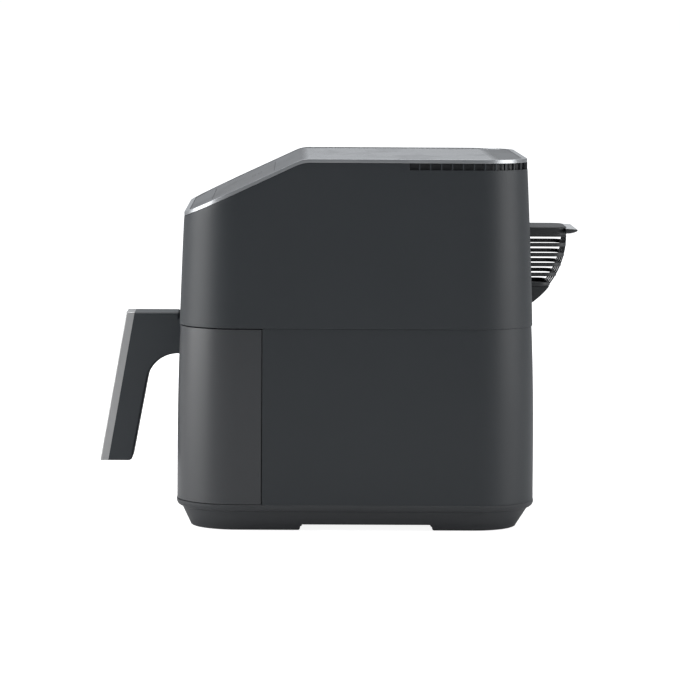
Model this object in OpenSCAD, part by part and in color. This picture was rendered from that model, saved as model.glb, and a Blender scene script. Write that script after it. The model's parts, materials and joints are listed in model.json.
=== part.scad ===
// Basket air fryer: a tapered two-part casing, a pull-out drawer with a hooked handle,
// a cooking chamber with its heater and fan above it, and a louvred air outlet at the back.
// Frame: +Z up, front towards -Y, origin on the table under the middle of the overall box.

/* [Casing] */
// Width of the casing at its middle seam
body_w = 288; // [250:1:340]
// Depth of the casing at its middle seam
body_d = 300; // [270:1:350]
// Height of the flat top above the table
body_h = 314; // [300:1:360]
// Plan radius of the upright corners
corner_r = 50; // [35:1:60]
// Height of the seam between the drawer level and the upper casing
seam_z = 172; // [165:1:190]
// How far the upper casing draws in on each side by its top
upper_draft = 6; // [2:0.5:9]
// How far the lower casing swells on each side by its bottom
lower_flare = 1.8; // [0.5:0.1:3]
// How far the upper casing overhangs the lower one at the seam
seam_step = 0.8; // [0.4:0.1:1.5]
// Wall of the plastic casings
wall = 2.5; // [2:0.1:3.5]

/* [Top] */
// Angle of the sloping control face
slope_angle = 25; // [18:0.5:28]
// Distance of the slope's upper edge in front of the casing's middle
slope_break_y = 46; // [40:1:60]
// Radius that rounds the slope into the flat top
slope_blend_r = 28; // [15:1:40]
// Height of the silver trim round the top
trim_h = 4; // [3:0.5:6]
// Width of the silver trim seen from above
trim_w = 4.5; // [3:0.5:7]
// Thickness of the top panel
panel_t = 2.5; // [2:0.1:3.5]
// Size across of the control window in the slope
lens_w = 190; // [120:1:200]
// Size along the slope of the control window
lens_d = 58; // [40:1:64]

/* [Top vents] */
// Height of the vent notches under the trim
notch_h = 5.5; // [4:0.5:8]
// Width of each vent notch
notch_w = 7.5; // [5:0.1:8]
// Distance from notch to notch
notch_pitch = 9.1; // [8.6:0.1:11]
// Where the notches begin behind the casing's middle
notch_start_y = 43; // [20:1:70]

/* [Base] */
// Height of the plinth
base_h = 23.5; // [20:0.5:30]
// Height of the plinth's bead
bead_h = 7; // [5:0.5:9]
// Step from the bead in to the plinth's slope
bead_step = 4.5; // [2:0.5:7]
// How far the plinth's slope draws in by the table
plinth_draft = 8; // [4:0.5:12]
// Height of the recess between the front and rear foot blocks
recess_h = 5.4; // [4.5:0.1:7]
// How far the front foot block ends in front of the casing's middle
front_foot_y = 49; // [30:1:60]
// How far the rear foot block begins behind the casing's middle
rear_foot_y = 66; // [40:1:75]
// Radius of each rubber foot
foot_r = 10; // [7:0.5:13]
// How far the rubber feet stand below the plinth
foot_t = 0.8; // [0.5:0.1:2]

/* [Drawer] */
// Length of the drawer's side wings behind its front face
wing_l = 70; // [55:1:80]
// Clearance of the drawer front to what is above, below and behind it
drawer_gap = 0.8; // [0.5:0.1:1.5]
// Width of the cooking pan over its rim
pan_w = 240; // [200:1:242]
// Depth of the cooking pan over its rim
pan_d = 228; // [190:1:232]
// Height of the pan's rim above the table
pan_top_z = 163; // [140:1:164]
// Corner radius of the pan
pan_r = 34; // [20:1:45]
// How far the pan draws in on each side by its floor
pan_draft = 5; // [2:0.5:8]
// Wall of the pan
pan_t = 1.4; // [1:0.1:2]
// Width of the pan's rim
rim_w = 3; // [2:0.5:4]
// Height of the crisper plate above the pan's floor
plate_lift = 10; // [6:0.5:16]
// Thickness of the crisper plate
plate_t = 2; // [1.5:0.1:3]
// Clearance of the crisper plate to the pan's wall
plate_gap = 2.2; // [1.5:0.1:4]
// Radius of the holes in the crisper plate
plate_hole_r = 3.5; // [2.5:0.1:4.5]

/* [Handle] */
// Width of the handle
handle_w = 39; // [30:1:46]
// Height of the handle's top above the table
handle_top_z = 175; // [168:0.5:182]
// Height of the handle's lower end above the table
handle_low_z = 45; // [35:1:60]
// Height of the arm where it meets the drawer
arm_h = 36; // [28:1:42]
// Reach of the handle's lower end in front of the casing
handle_reach = 72; // [60:1:80]
// Lean of the grip away from upright
grip_lean = 10; // [4:0.5:14]
// Thickness of the silver face plate, measured level
face_t = 7.5; // [4:0.5:9]
// Thickness of the dark grip behind the plate, measured level
grip_t = 21.5; // [16:0.5:26]
// Radius between the arm and the grip
grip_blend_r = 27; // [15:1:32]

/* [Air outlet] */
// Width of the outlet cage
outlet_w = 64; // [50:1:90]
// Height of the outlet hood's top above the table
hood_top_z = 252; // [240:1:260]
// Thickness of the outlet hood
hood_t = 8; // [5:0.5:10]
// Reach of the hood behind the casing's deepest line
hood_reach = 32; // [26:1:40]
// Reach of the hooked lip past the hood
lip_reach = 10; // [6:0.5:14]
// Thickness of the hooked lip
lip_t = 2.4; // [1.6:0.1:4]
// Radius of the cage's curved back, about a line at the hood's underside
cage_r = 71; // [62:1:80]
// Height of one louvre slot
slot_h = 6.2; // [4:0.1:6.5]
// Distance from slot to slot
slot_pitch = 8.6; // [7.5:0.1:10]
// Number of louvre slots
slot_count = 5; // [3:1:5]
// Thickness of the cage's frame
cage_t = 2.6; // [2:0.1:4]

/* [Chamber] */
// Width of the steel chamber liner
liner_w = 252; // [240:1:256]
// Thickness of the sheet steel parts
sheet_t = 1; // [0.8:0.1:1.5]
// Corner radius at the back of the chamber liner
liner_r = 38; // [20:1:45]
// Height of the rails that the pan runs on
rail_h = 5; // [4:0.5:8]
// Radius of the heater's housing
heater_r = 104; // [90:1:106]
// Height of the heater's housing
heater_h = 55; // [50:1:60]
// Radius of the heating element's outer turn
element_r = 88; // [75:1:90]
// Radius of the heating element's tube
tube_r = 3.25; // [2.5:0.05:4]

/* [Fan and motor] */
// Radius of the convection fan
fan_r = 72; // [55:1:74]
// Number of blades on the convection fan
fan_blades = 10; // [6:1:12]
// Radius of the cooling fan
cooler_r = 62; // [45:1:64]
// Number of blades on the cooling fan
cooler_blades = 9; // [5:1:11]
// Radius of the motor shaft
shaft_r = 3; // [2.5:0.5:4]
// Running clearance between the shaft and its bearings
running_gap = 0.05; // [0.03:0.01:0.08]
// Radius of the motor's rotor
rotor_r = 17; // [14:0.5:20]
// Air gap round the rotor
air_gap = 0.6; // [0.5:0.1:1]
// Height of the motor's laminated stack
stack_h = 22; // [16:1:24]

/* [Hidden] */
$fn = 96;

// How far the whole reaches in front of and behind the casing's middle
front_y = body_d / 2 + handle_reach;
back_y = body_d / 2 + hood_reach + lip_reach;
// Places the casing's middle so that the overall box stands centred on the origin
centre_y = (front_y - back_y) / 2;

// A length that runs well past whatever it cuts
past = 400;
// Overlap that keeps two shapes of one solid joined
bite = 0.5;

// Lower casing, drawer front and plinth
lower_w = body_w + 2 * lower_flare;
lower_d = body_d + 2 * lower_flare;
lower_r = corner_r + lower_flare;
lower_h = seam_z - base_h;
upper_h = body_h - seam_z;
wing_y = -body_d / 2 + wing_l;
plinth_h = base_h - bead_h - foot_t;
bead_over = 0.4;
recess_z = recess_h + foot_t;
foot_x = body_w / 2 - 48;
foot_y = body_d / 2 - 42;
stem_r = 3.9;
floor_t = 2.6;
screw_r = 1.8;
boss_r = 5.5;
base_spots = [for (x = [-1, 1], y = [-0.24, 0, 0.31]) [x * (liner_w / 2 - 20), y * body_d]];

// Cooking chamber
frame_gap = 3;
liner_z = base_h + 3.5;
liner_front_y = -body_d / 2 + 33;
liner_back_y = body_d / 2 - 29;
liner_top_z = seam_z + 6;
ceiling_z = liner_top_z + sheet_t;
rail_top_z = liner_z + sheet_t + rail_h;
rail_x = pan_w / 2 - pan_draft - 18;
rail_w = 8;
rail_l = liner_back_y - liner_front_y - 30;

// Pan and crisper plate
slide_gap = 0.4;
pan_floor_z = rail_top_z + slide_gap;
pan_h = pan_top_z - pan_floor_z;
pan_front_y = liner_front_y - 3;
pan_y = pan_front_y + pan_d / 2;
plate_z = pan_floor_z + pan_t + plate_lift;
plate_draft = pan_draft * plate_lift / pan_h;
plate_inset = rim_w + pan_draft - plate_draft + pan_t + plate_gap;
plate_w = pan_w - 2 * plate_inset;
plate_d = pan_d - 2 * plate_inset;
plate_r = pan_r - plate_inset + rim_w;
bumper_l = 14;
bumper_w = plate_gap - 0.5;

// Drawer front
cover_z = base_h + drawer_gap;
cover_top_z = seam_z - drawer_gap;
deck_t = 2.5;
deck_in = 1.5;
panel_wall = 3;
fit_gap = 0.05;
inner_panel_y = pan_front_y;

// Handle, in a plane that runs forward (u) from the casing's front and up
grip_rise = handle_top_z - handle_low_z;
grip_run = grip_rise * tan(grip_lean);
face_low_u = handle_reach;
face_top_u = handle_reach - grip_run;
grip_low_u = face_low_u - face_t;
grip_top_u = face_top_u - face_t;
arm_low_z = handle_top_z - arm_h;
handle_end_r = 4;
joint_u = drawer_gap;
arc_steps = 14;

// Fan stack, from the ceiling up
fan_y = (liner_front_y + liner_back_y) / 2 - 4;
guard_z = ceiling_z + 2;
wire_r = 1.1;
element_z = ceiling_z + 13;
element_gap = 16;
lead_x = 12;
fan_z = ceiling_z + 25;
blade_h = 15;
heater_top_z = ceiling_z + heater_h;
shield_h = 6;
shield_z = heater_top_z + shield_h;
cooler_z = shield_z + 3;
cooler_h = 10;
bracket_z = cooler_z + cooler_h + 3;
bracket_t = 2;
bearing_r = 8;
bearing_h = 6;
stack_z = bracket_z + bracket_t + bearing_h + 2;
bridge_z = stack_z + stack_h + 2;
shaft_low_z = fan_z - 9;
shaft_top_z = bridge_z + bracket_t + bearing_h + 1;
hub_r = 9;
stack_w = 66;
stack_d = 52;
bolt_x = 25;
bolt_y = 19;
bolt_r = 2;
leg_x = cooler_r + 8;
strap_w = 46;

// Outlet, behind the upper casing
cage_mid_y = body_d / 2 + hood_reach - cage_r;
cage_top_z = hood_top_z - hood_t;
cage_low_z = cage_top_z - sqrt(cage_r * cage_r - pow(cage_r - hood_reach + 2, 2));
slot_top_z = cage_top_z - 0.6;
hood_screw_r = 1.5;
hood_screw_l = 16;
hood_screw_y = body_d / 2 - wall - upper_draft * (hood_top_z - seam_z) / upper_h;
duct_w = outlet_w - 12;
duct_t = 1.2;
duct_front_y = fan_y + heater_r + 2;
duct_top_z = cage_top_z - 4;

// Temperature sensor through the heater's housing
sensor_r = 2.5;
sensor_head_r = 5;
sensor_z = ceiling_z + 16;

// Boards and the cord's inlet
display_t = 6;
board_t = 1.6;
gland_x = -70;
gland_z = base_h + 20;
gland_r = 8;

// Interlock switch beside the chamber opening
switch_x = liner_w / 2 + 3.6;
switch_z = seam_z - 26;
plunger_r = 1.5;
plunger_l = 14;
plunger_front_y = inner_panel_y + 0.3;

// ---- shared shapes -------------------------------------------------------------------

module placed() {
    translate([0, centre_y, 0]) children();
}

// Rounded rectangle in plan
module round_plan(w, d, r) {
    square([w, d - 2 * r], center = true);
    square([w - 2 * r, d], center = true);
    for (x = [-1, 1], y = [-1, 1])
        translate([x * (w / 2 - r), y * (d / 2 - r)])
            circle(r);
}

// Plan with a square front edge and two rounded back corners
module chamber_plan(w, front, back, r) {
    translate([-w / 2, front])
        square([w, back - r - front]);
    translate([-w / 2 + r, front])
        square([w - 2 * r, back - front]);
    for (x = [-1, 1])
        translate([x * (w / 2 - r), back - r])
            circle(r);
}

// Rounded block whose walls and corners draw in by inset over its height
module draft_block(w, d, r, inset, h) {
    rotate([90, 0, 0])
        translate([0, 0, -(d / 2 - r)])
            linear_extrude(d - 2 * r)
                polygon([[-w / 2, 0], [w / 2, 0], [w / 2 - inset, h], [inset - w / 2, h]]);
    rotate([90, 0, 90])
        translate([0, 0, -(w / 2 - r)])
            linear_extrude(w - 2 * r)
                polygon([[-d / 2, 0], [d / 2, 0], [d / 2 - inset, h], [inset - d / 2, h]]);
    for (turn = [0:3])
        translate([
            (turn == 0 || turn == 3 ? 1 : -1) * (w / 2 - r),
            (turn < 2 ? 1 : -1) * (d / 2 - r),
            0
        ])
            rotate([0, 0, 90 * turn])
                rotate_extrude(angle = 90)
                    polygon([[0, 0], [r, 0], [r - inset, h], [0, h]]);
}

// The lower casing's solid, drawn in by shrink all round
module lower_block(shrink) {
    translate([0, 0, base_h])
        draft_block(lower_w - 2 * shrink, lower_d - 2 * shrink, lower_r - shrink,
            lower_flare + seam_step, lower_h);
}

// The upper casing's solid, drawn in by shrink all round
module upper_block(shrink) {
    translate([0, 0, seam_z])
        draft_block(body_w - 2 * shrink, body_d - 2 * shrink, corner_r - shrink,
            upper_draft, upper_h);
}

// Points of an arc about a centre
function arc(centre, r, from, to) =
    [for (i = [0:arc_steps])
        let (a = from + (to - from) * i / arc_steps)
        [centre[0] + r * cos(a), centre[1] + r * sin(a)]];

// Line of the top in the upright plane from front to back, lowered by drop
function top_line(drop) =
    let (
        blend_l = slope_blend_r * tan(slope_angle / 2),
        mid = [-slope_break_y + blend_l, body_h - slope_blend_r - drop],
        low_z = body_h - drop - (past - slope_break_y) * tan(slope_angle)
    )
    concat([[-past, low_z]], arc(mid, slope_blend_r, 90 + slope_angle, 90), [[past, body_h - drop]]);

// Everything under the top line
module below_top(drop) {
    rotate([90, 0, 90])
        translate([0, 0, -past / 2])
            linear_extrude(past)
                polygon(concat(top_line(drop), [[past, -past], [-past, -past]]));
}

// A slab of the given height
module slab(low, high) {
    translate([-past, -past, low])
        cube([2 * past, 2 * past, high - low]);
}

// Box given by its middle in plan, its foot and its size
module block_on(x, y, z, size) {
    translate([x - size[0] / 2, y - size[1] / 2, z])
        cube(size);
}

// Upright round bar
module post(x, y, z, r, h) {
    translate([x, y, z])
        cylinder(r = r, h = h);
}

// Machine screw with its head at the origin, pointing down
module screw(r, l) {
    cylinder(r = 1.9 * r, h = 1.1 * r);
    translate([0, 0, -l])
        cylinder(r = r, h = l + bite);
}

// ---- casing --------------------------------------------------------------------------

// Cutters for the row of vent notches along both sides, the back corners and the back
module vent_notches() {
    top_w = body_w - 2 * upper_draft;
    top_d = body_d - 2 * upper_draft;
    r = corner_r - upper_draft;
    side_l = top_d / 2 - r - notch_start_y;
    side_count = floor(side_l / notch_pitch);
    turn_step = notch_pitch / r * 180 / PI;
    turn_count = floor(90 / turn_step);
    back_count = floor((top_w / 2 - r) / notch_pitch);
    cut = [4 * wall, notch_w, notch_h + trim_h];
    for (m = [-1, 1]) {
        for (i = [0:side_count - 1])
            block_on(m * top_w / 2, notch_start_y + (i + 0.5) * notch_pitch, body_h - trim_h - notch_h, cut);
        for (i = [0:turn_count - 1])
            translate([m * (top_w / 2 - r), top_d / 2 - r, 0])
                rotate([0, 0, 90 - m * (90 - (i + 0.5) * 90 / turn_count)])
                    block_on(r, 0, body_h - trim_h - notch_h, cut);
        for (i = [0:back_count - 1])
            translate([m * (i + 0.5) * notch_pitch, top_d / 2, 0])
                rotate([0, 0, 90])
                    block_on(0, 0, body_h - trim_h - notch_h, cut);
    }
}

module upper_housing() placed() color("#33363a") {
    difference() {
        intersection() {
            upper_block(0);
            below_top(trim_h);
        }
        upper_block(wall);
        translate([0, 0, -wall])
            upper_block(wall);
        vent_notches();
        block_on(0, body_d / 2, cage_low_z + 6, [duct_w - 4, 20, duct_top_z - cage_low_z - 8]);
        at_hood_screws(hood_screw_y)
            translate([0, 0, -hood_screw_l])
                cylinder(r = hood_screw_r, h = hood_screw_l);
    }
}

module top_trim() placed() color("#a9abad") {
    difference() {
        intersection() {
            upper_block(0);
            below_top(0);
        }
        below_top(trim_h);
        intersection() {
            upper_block(trim_w);
            translate([0, 0, 1])
                below_top(0);
        }
    }
}

module top_panel() placed() color("#3a3d42") {
    difference() {
        intersection() {
            upper_block(trim_w);
            below_top(0);
        }
        below_top(panel_t);
        lens_block(0);
    }
}

// Box square to the slope that bounds the control window
module lens_block(grow) {
    mid_y = -(slope_break_y + body_d / 2 - upper_draft) / 2 - 2;
    mid_z = body_h - (-mid_y - slope_break_y) * tan(slope_angle);
    translate([0, mid_y, mid_z])
        rotate([slope_angle, 0, 0])
            translate([0, 0, -30])
                linear_extrude(60)
                    round_plan(lens_w + 2 * grow, lens_d + 2 * grow, 8);
}

module control_lens() placed() color("#101114") {
    intersection() {
        lens_block(0);
        difference() {
            below_top(0);
            below_top(panel_t);
        }
    }
}

// Frame of the slope: its middle under the control window, Z square to the face
module on_slope(depth) {
    mid_y = -(slope_break_y + body_d / 2 - upper_draft) / 2 - 2;
    mid_z = body_h - (-mid_y - slope_break_y) * tan(slope_angle);
    translate([0, mid_y, mid_z])
        rotate([slope_angle, 0, 0])
            translate([0, 0, -depth])
                children();
}

module display_module() placed() color("#e8e8ea") {
    on_slope(panel_t + display_t)
        block_on(0, 0, 0, [96, 26, display_t - 0.2]);
}

module control_board() placed() color("#1f6b3a") {
    on_slope(panel_t + display_t + board_t)
        block_on(0, 0, 0, [176, 52, board_t]);
    for (x = [-66, 66])
        on_slope(panel_t + display_t + board_t)
            block_on(x, 0, 0, [18, 14, board_t + display_t - 0.4]);
}

module lower_housing() placed() color("#34373b") {
    lip_w = body_w / 2 - liner_w / 2 - 3;
    difference() {
        lower_block(0);
        lower_block(wall);
        translate([-past, -2 * past + wing_y + drawer_gap, -past])
            cube(2 * past);
        translate([gland_x, 0, gland_z])
            rotate([-90, 0, 0])
                cylinder(r = gland_r, h = past);
    }
    intersection() {
        lower_block(wall - bite);
        for (m = [-1, 1])
            block_on(m * (body_w / 2 - lip_w / 2), wing_y + drawer_gap + wall / 2, base_h,
                [lip_w, wall, lower_h]);
    }
}

module chamber_frame() placed() color("#26282b") {
    frame_z = base_h + 0.5;
    frame_h = seam_z - 2 - frame_z;
    frame_l = wing_y + drawer_gap - liner_front_y;
    hole_w = liner_w + 0.4;
    difference() {
        intersection() {
            lower_block(wall + frame_gap);
            translate([-past, liner_front_y, frame_z])
                cube([2 * past, frame_l, frame_h]);
        }
        intersection() {
            lower_block(2 * wall + frame_gap);
            translate([-past, liner_front_y + wall, frame_z + wall])
                cube([2 * past, frame_l, frame_h]);
        }
        translate([-hole_w / 2, liner_front_y - bite, liner_z - 0.2])
            cube([hole_w, frame_l + 1, frame_h]);
        translate([switch_x, liner_front_y - bite, switch_z])
            rotate([-90, 0, 0])
                cylinder(r = plunger_r + 0.6, h = wall + 1);
        switch_body(0.2);
    }
}

// The interlock switch's body behind the chamber's frame, larger by grow on its free sides
module switch_body(grow) {
    translate([switch_x - 3 - grow, liner_front_y + wall, switch_z - 8 - grow])
        cube([6 + 2 * grow, 16 + grow, 16 + 2 * grow]);
}

module base_plinth() placed() color("#3a3c40") {
    bead_w = lower_w + 2 * bead_over;
    bead_d = lower_d + 2 * bead_over;
    bead_r = lower_r + bead_over;
    inset = bead_step + plinth_draft;
    floor_w = bead_w - 2 * inset;
    floor_d = bead_d - 2 * inset;
    floor_r = bead_r - inset;
    difference() {
        union() {
            difference() {
                union() {
                    translate([0, 0, base_h - bead_h])
                        linear_extrude(bead_h)
                            round_plan(bead_w, bead_d, bead_r);
                    translate([0, 0, foot_t])
                        draft_block(floor_w, floor_d, floor_r, -plinth_draft, plinth_h + bite);
                }
                translate([0, 0, recess_z + floor_t])
                    linear_extrude(base_h)
                        round_plan(floor_w, floor_d, floor_r);
                difference() {
                    translate([0, 0, foot_t + floor_t])
                        linear_extrude(base_h)
                            round_plan(floor_w - 2 * wall, floor_d - 2 * wall, floor_r - wall);
                    translate([-past, -front_foot_y - wall, 0])
                        cube([2 * past, front_foot_y + rear_foot_y + 2 * wall, past]);
                }
            }
            for (spot = base_spots)
                post(spot[0], spot[1], foot_t, boss_r, liner_z - foot_t);
        }
        translate([-past, -front_foot_y, -past])
            cube([2 * past, front_foot_y + rear_foot_y, past + recess_z]);
        for (x = [-1, 1], y = [-1, 1])
            post(x * foot_x, y * foot_y, 0, stem_r, base_h);
        for (spot = base_spots) {
            post(spot[0], spot[1], 0, boss_r - 1.5, recess_z + 3);
            post(spot[0], spot[1], 0, screw_r, base_h + past);
        }
    }
}

module rubber_feet() placed() color("#151515") {
    for (x = [-1, 1], y = [-1, 1]) {
        post(x * foot_x, y * foot_y, 0, foot_r, foot_t);
        post(x * foot_x, y * foot_y, 0, stem_r, foot_t + floor_t + 1);
        post(x * foot_x, y * foot_y, foot_t + floor_t, stem_r + 1.5, 1);
    }
}

module base_screws() placed() color("#8c9096") {
    for (spot = base_spots)
        translate([spot[0], spot[1], recess_z + 3])
            rotate([180, 0, 0])
                screw(screw_r, liner_z + sheet_t + 1 - recess_z - 3);
}

// ---- chamber -------------------------------------------------------------------------

module chamber_liner() placed() color("#9da1a6") {
    difference() {
        translate([0, 0, liner_z])
            linear_extrude(liner_top_z - liner_z)
                chamber_plan(liner_w, liner_front_y, liner_back_y, liner_r);
        translate([0, 0, liner_z + sheet_t])
            linear_extrude(past)
                chamber_plan(liner_w - 2 * sheet_t, liner_front_y - 1, liner_back_y - sheet_t,
                    liner_r - sheet_t);
        for (spot = base_spots)
            post(spot[0], spot[1], liner_z - 1, screw_r, sheet_t + 2);
    }
}

module drawer_rails() placed() color("#c3c6ca") {
    for (m = [-1, 1])
        block_on(m * rail_x, (liner_front_y + liner_back_y) / 2 - 5, liner_z + sheet_t, [rail_w, rail_l, rail_h]);
}

module drawer_catches() placed() color("#d6d8db") {
    catch_l = 24;
    catch_r = 20;
    bump = 2;
    for (m = [-1, 1])
        translate([m * (liner_w / 2 - sheet_t), liner_back_y - liner_r - 40, pan_top_z - 40]) {
            intersection() {
                translate([m * (catch_r - bump), 0, 0])
                    cylinder(r = catch_r, h = 9);
                block_on(-m * 5, 0, 0, [10, catch_l, 9]);
            }
        }
}

module chamber_ceiling() placed() color("#9da1a6") {
    difference() {
        translate([0, 0, liner_top_z])
            linear_extrude(sheet_t)
                chamber_plan(liner_w, liner_front_y, liner_back_y, liner_r);
        post(0, fan_y, liner_top_z - 1, heater_r - 3, sheet_t + 2);
        block_on(0, duct_front_y + 8, liner_top_z - 1, [duct_w - 8, 9, sheet_t + 2]);
    }
}

module heater_housing() placed() color("#b4b7bb") {
    difference() {
        post(0, fan_y, ceiling_z, heater_r, heater_h);
        post(0, fan_y, ceiling_z - 1, heater_r - sheet_t, heater_h + 1 - sheet_t);
        post(0, fan_y, ceiling_z, 7, heater_h + 1);
        for (m = [-1, 1])
            post(m * lead_x, fan_y - element_r, ceiling_z, 5, heater_h + 1);
        translate([-past, fan_y, sensor_z])
            rotate([0, 90, 0])
                cylinder(r = sensor_r, h = past);
    }
}

module heating_element() placed() color("#7b6a60") {
    translate([0, fan_y, element_z])
        for (r = [element_r, element_r - element_gap])
            rotate_extrude()
                translate([r, 0])
                    circle(tube_r);
    for (m = [-1, 1])
        post(m * lead_x, fan_y - element_r, element_z, tube_r, heater_h);
    translate([0, fan_y + element_r, element_z])
        rotate([90, 0, 0])
            cylinder(r = tube_r, h = element_gap);
}

module element_clips() placed() color("#c9ccd0") {
    for (a = [30, 150, 270])
        translate([0, fan_y, 0])
            rotate([0, 0, a]) {
                translate([element_r - element_gap - 6, -4, element_z + tube_r])
                    cube([heater_r - element_r + element_gap + 6 - sheet_t - 0.1, 8, sheet_t]);
                translate([heater_r - 2 * sheet_t - 0.1, -4, element_z + tube_r])
                    cube([sheet_t, 8, 12]);
            }
}

module element_guard() placed() color("#c9ccd0") {
    rings = 6;
    reach = heater_r - sheet_t - 1.2;
    wire = 2 * wire_r;
    translate([0, fan_y, guard_z]) {
        for (i = [1:rings])
            difference() {
                cylinder(r = reach * i / rings, h = wire);
                translate([0, 0, -1])
                    cylinder(r = reach * i / rings - wire, h = wire + 2);
            }
        for (a = [0:60:120])
            rotate([0, 0, a])
                translate([-reach + wire / 2, -wire_r, wire / 2])
                    cube([2 * reach - wire, wire, wire]);
    }
}

module insulation_mat() placed() color("#e4e0d4") {
    mat_t = 5;
    difference() {
        post(0, fan_y, ceiling_z + 3, heater_r + mat_t, heater_h - 6);
        post(0, fan_y, ceiling_z, heater_r, heater_h);
        translate([-duct_w / 2 - 3, fan_y, 0])
            cube([duct_w + 6, past, past]);
        translate([-past, fan_y, sensor_z])
            rotate([0, 90, 0])
                cylinder(r = sensor_head_r + 0.5, h = past);
    }
}

module heat_shield() placed() color("#aeb1b5") {
    shield_r = heater_r - 6;
    difference() {
        post(0, fan_y, heater_top_z, shield_r, shield_h);
        post(0, fan_y, heater_top_z - 1, shield_r - sheet_t, shield_h + 1 - sheet_t);
        post(0, fan_y, heater_top_z, 8, shield_h + 1);
        for (m = [-1, 1])
            post(m * lead_x, fan_y - element_r, heater_top_z, 6, shield_h + 1);
    }
}

// ---- fan and motor -------------------------------------------------------------------

module motor_bracket() placed() color("#babdc1") {
    translate([0, fan_y, 0])
        difference() {
            union() {
                block_on(0, 0, bracket_z, [2 * leg_x + bracket_t, strap_w, bracket_t]);
                for (m = [-1, 1])
                    block_on(m * leg_x, 0, shield_z, [bracket_t, strap_w, bracket_z - shield_z + bite]);
                post(0, 0, bracket_z + bracket_t - bite, bearing_r + 2, bearing_h + bite);
            }
            post(0, 0, bracket_z + bracket_t, bearing_r, bearing_h + 1);
            post(0, 0, bracket_z - 1, shaft_r + 1.5, bracket_t + 2);
            for (x = [-1, 1], y = [-1, 1])
                post(x * bolt_x, y * bolt_y, bracket_z - 1, bolt_r, bracket_t + 2);
        }
}

module motor_stator() placed() color("#6d7176") {
    translate([0, fan_y, 0]) {
        difference() {
            block_on(0, 0, stack_z, [stack_w, stack_d, stack_h]);
            post(0, 0, stack_z - 1, rotor_r + air_gap, stack_h + 2);
            for (x = [-1, 1], y = [-1, 1])
                post(x * bolt_x, y * bolt_y, stack_z - 1, bolt_r, stack_h + 2);
        }
        for (x = [-1, 1], y = [-1, 1])
            difference() {
                post(x * bolt_x, y * bolt_y, bracket_z + bracket_t, bolt_r + 1.5,
                    bridge_z - bracket_z - bracket_t);
                post(x * bolt_x, y * bolt_y, bracket_z, bolt_r, past);
            }
    }
}

module motor_coil() placed() color("#b06a2c") {
    coil_l = 24;
    coil_r = 13;
    translate([-coil_l / 2, fan_y + stack_d / 2 + coil_r, stack_z + stack_h / 2])
        rotate([0, 90, 0])
            cylinder(r = coil_r, h = coil_l);
}

module motor_bridge() placed() color("#babdc1") {
    translate([0, fan_y, 0])
        difference() {
            union() {
                block_on(0, 0, bridge_z, [stack_w - 6, stack_d - 4, bracket_t]);
                post(0, 0, bridge_z, bearing_r + 2, bracket_t + bearing_h);
            }
            post(0, 0, bridge_z + bracket_t, bearing_r, bearing_h + 1);
            post(0, 0, bridge_z - 1, shaft_r + 1.5, bracket_t + 2);
            for (x = [-1, 1], y = [-1, 1])
                post(x * bolt_x, y * bolt_y, bridge_z - 1, bolt_r, bracket_t + 2);
        }
}

module bearing_at(z) {
    difference() {
        post(0, fan_y, z, bearing_r, bearing_h);
        post(0, fan_y, z - 1, shaft_r + running_gap, bearing_h + 2);
    }
}

module lower_bearing() placed() color("#b08a3c") {
    bearing_at(bracket_z + bracket_t);
}

module upper_bearing() placed() color("#b08a3c") {
    bearing_at(bridge_z + bracket_t);
}

module motor_screws() placed() color("#8c9096") {
    for (x = [-1, 1], y = [-1, 1])
        translate([x * bolt_x, fan_y + y * bolt_y, bridge_z + bracket_t])
            screw(bolt_r, bridge_z + bracket_t - bracket_z);
}

module convection_fan() placed() color("#c9ccd0") {
    blade_t = 1.2;
    translate([0, fan_y, 0])
        difference() {
            union() {
                post(0, 0, fan_z + blade_h, fan_r, blade_t);
                post(0, 0, fan_z + 3, hub_r, blade_h - 2);
                for (i = [0:fan_blades - 1])
                    rotate([0, 0, i * 360 / fan_blades])
                        translate([fan_r * 0.34, 0, fan_z])
                            rotate([0, 0, 24])
                                cube([fan_r * 0.6, blade_t, blade_h + bite]);
            }
            post(0, 0, fan_z, shaft_r, blade_h + 3);
        }
}

module motor_shaft() placed() color("#d4d6d9") {
    post(0, fan_y, shaft_low_z, shaft_r, shaft_top_z - shaft_low_z);
}

module motor_rotor() placed() color("#8a8d92") {
    difference() {
        post(0, fan_y, stack_z, rotor_r, stack_h);
        post(0, fan_y, stack_z - 1, shaft_r, stack_h + 2);
    }
}

module cooling_fan() placed() color("#3f4145") {
    blade_t = 1.4;
    translate([0, fan_y, cooler_z])
        difference() {
            union() {
                cylinder(r = hub_r + 3, h = cooler_h);
                cylinder(r = cooler_r, h = blade_t);
                for (i = [0:cooler_blades - 1])
                    rotate([0, 0, i * 360 / cooler_blades])
                        translate([cooler_r * 0.3, 0, blade_t - bite])
                            rotate([0, 0, 20])
                                cube([cooler_r * 0.64, blade_t, cooler_h - blade_t]);
            }
            translate([0, 0, -1])
                cylinder(r = shaft_r, h = cooler_h + 2);
        }
}

module fan_nut() placed() color("#d4d6d9") {
    nut_h = 5;
    translate([0, fan_y, fan_z + 3 - nut_h])
        difference() {
            cylinder(r = 6.5, h = nut_h, $fn = 6);
            translate([0, 0, -1])
                cylinder(r = shaft_r, h = nut_h + 2);
        }
}

// ---- air outlet ----------------------------------------------------------------------

// Upright section of the outlet cage, drawn in by shrink
module cage_section(shrink) {
    intersection() {
        translate([cage_mid_y, cage_top_z])
            circle(cage_r - shrink);
        translate([body_d / 2 - 12, cage_low_z])
            square([hood_reach + 20, cage_top_z - cage_low_z]);
    }
}

// The cage's section drawn out to a width
module cage_block(width, shrink) {
    rotate([90, 0, 90])
        translate([0, 0, -width / 2])
            linear_extrude(width)
                cage_section(shrink);
}

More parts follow.
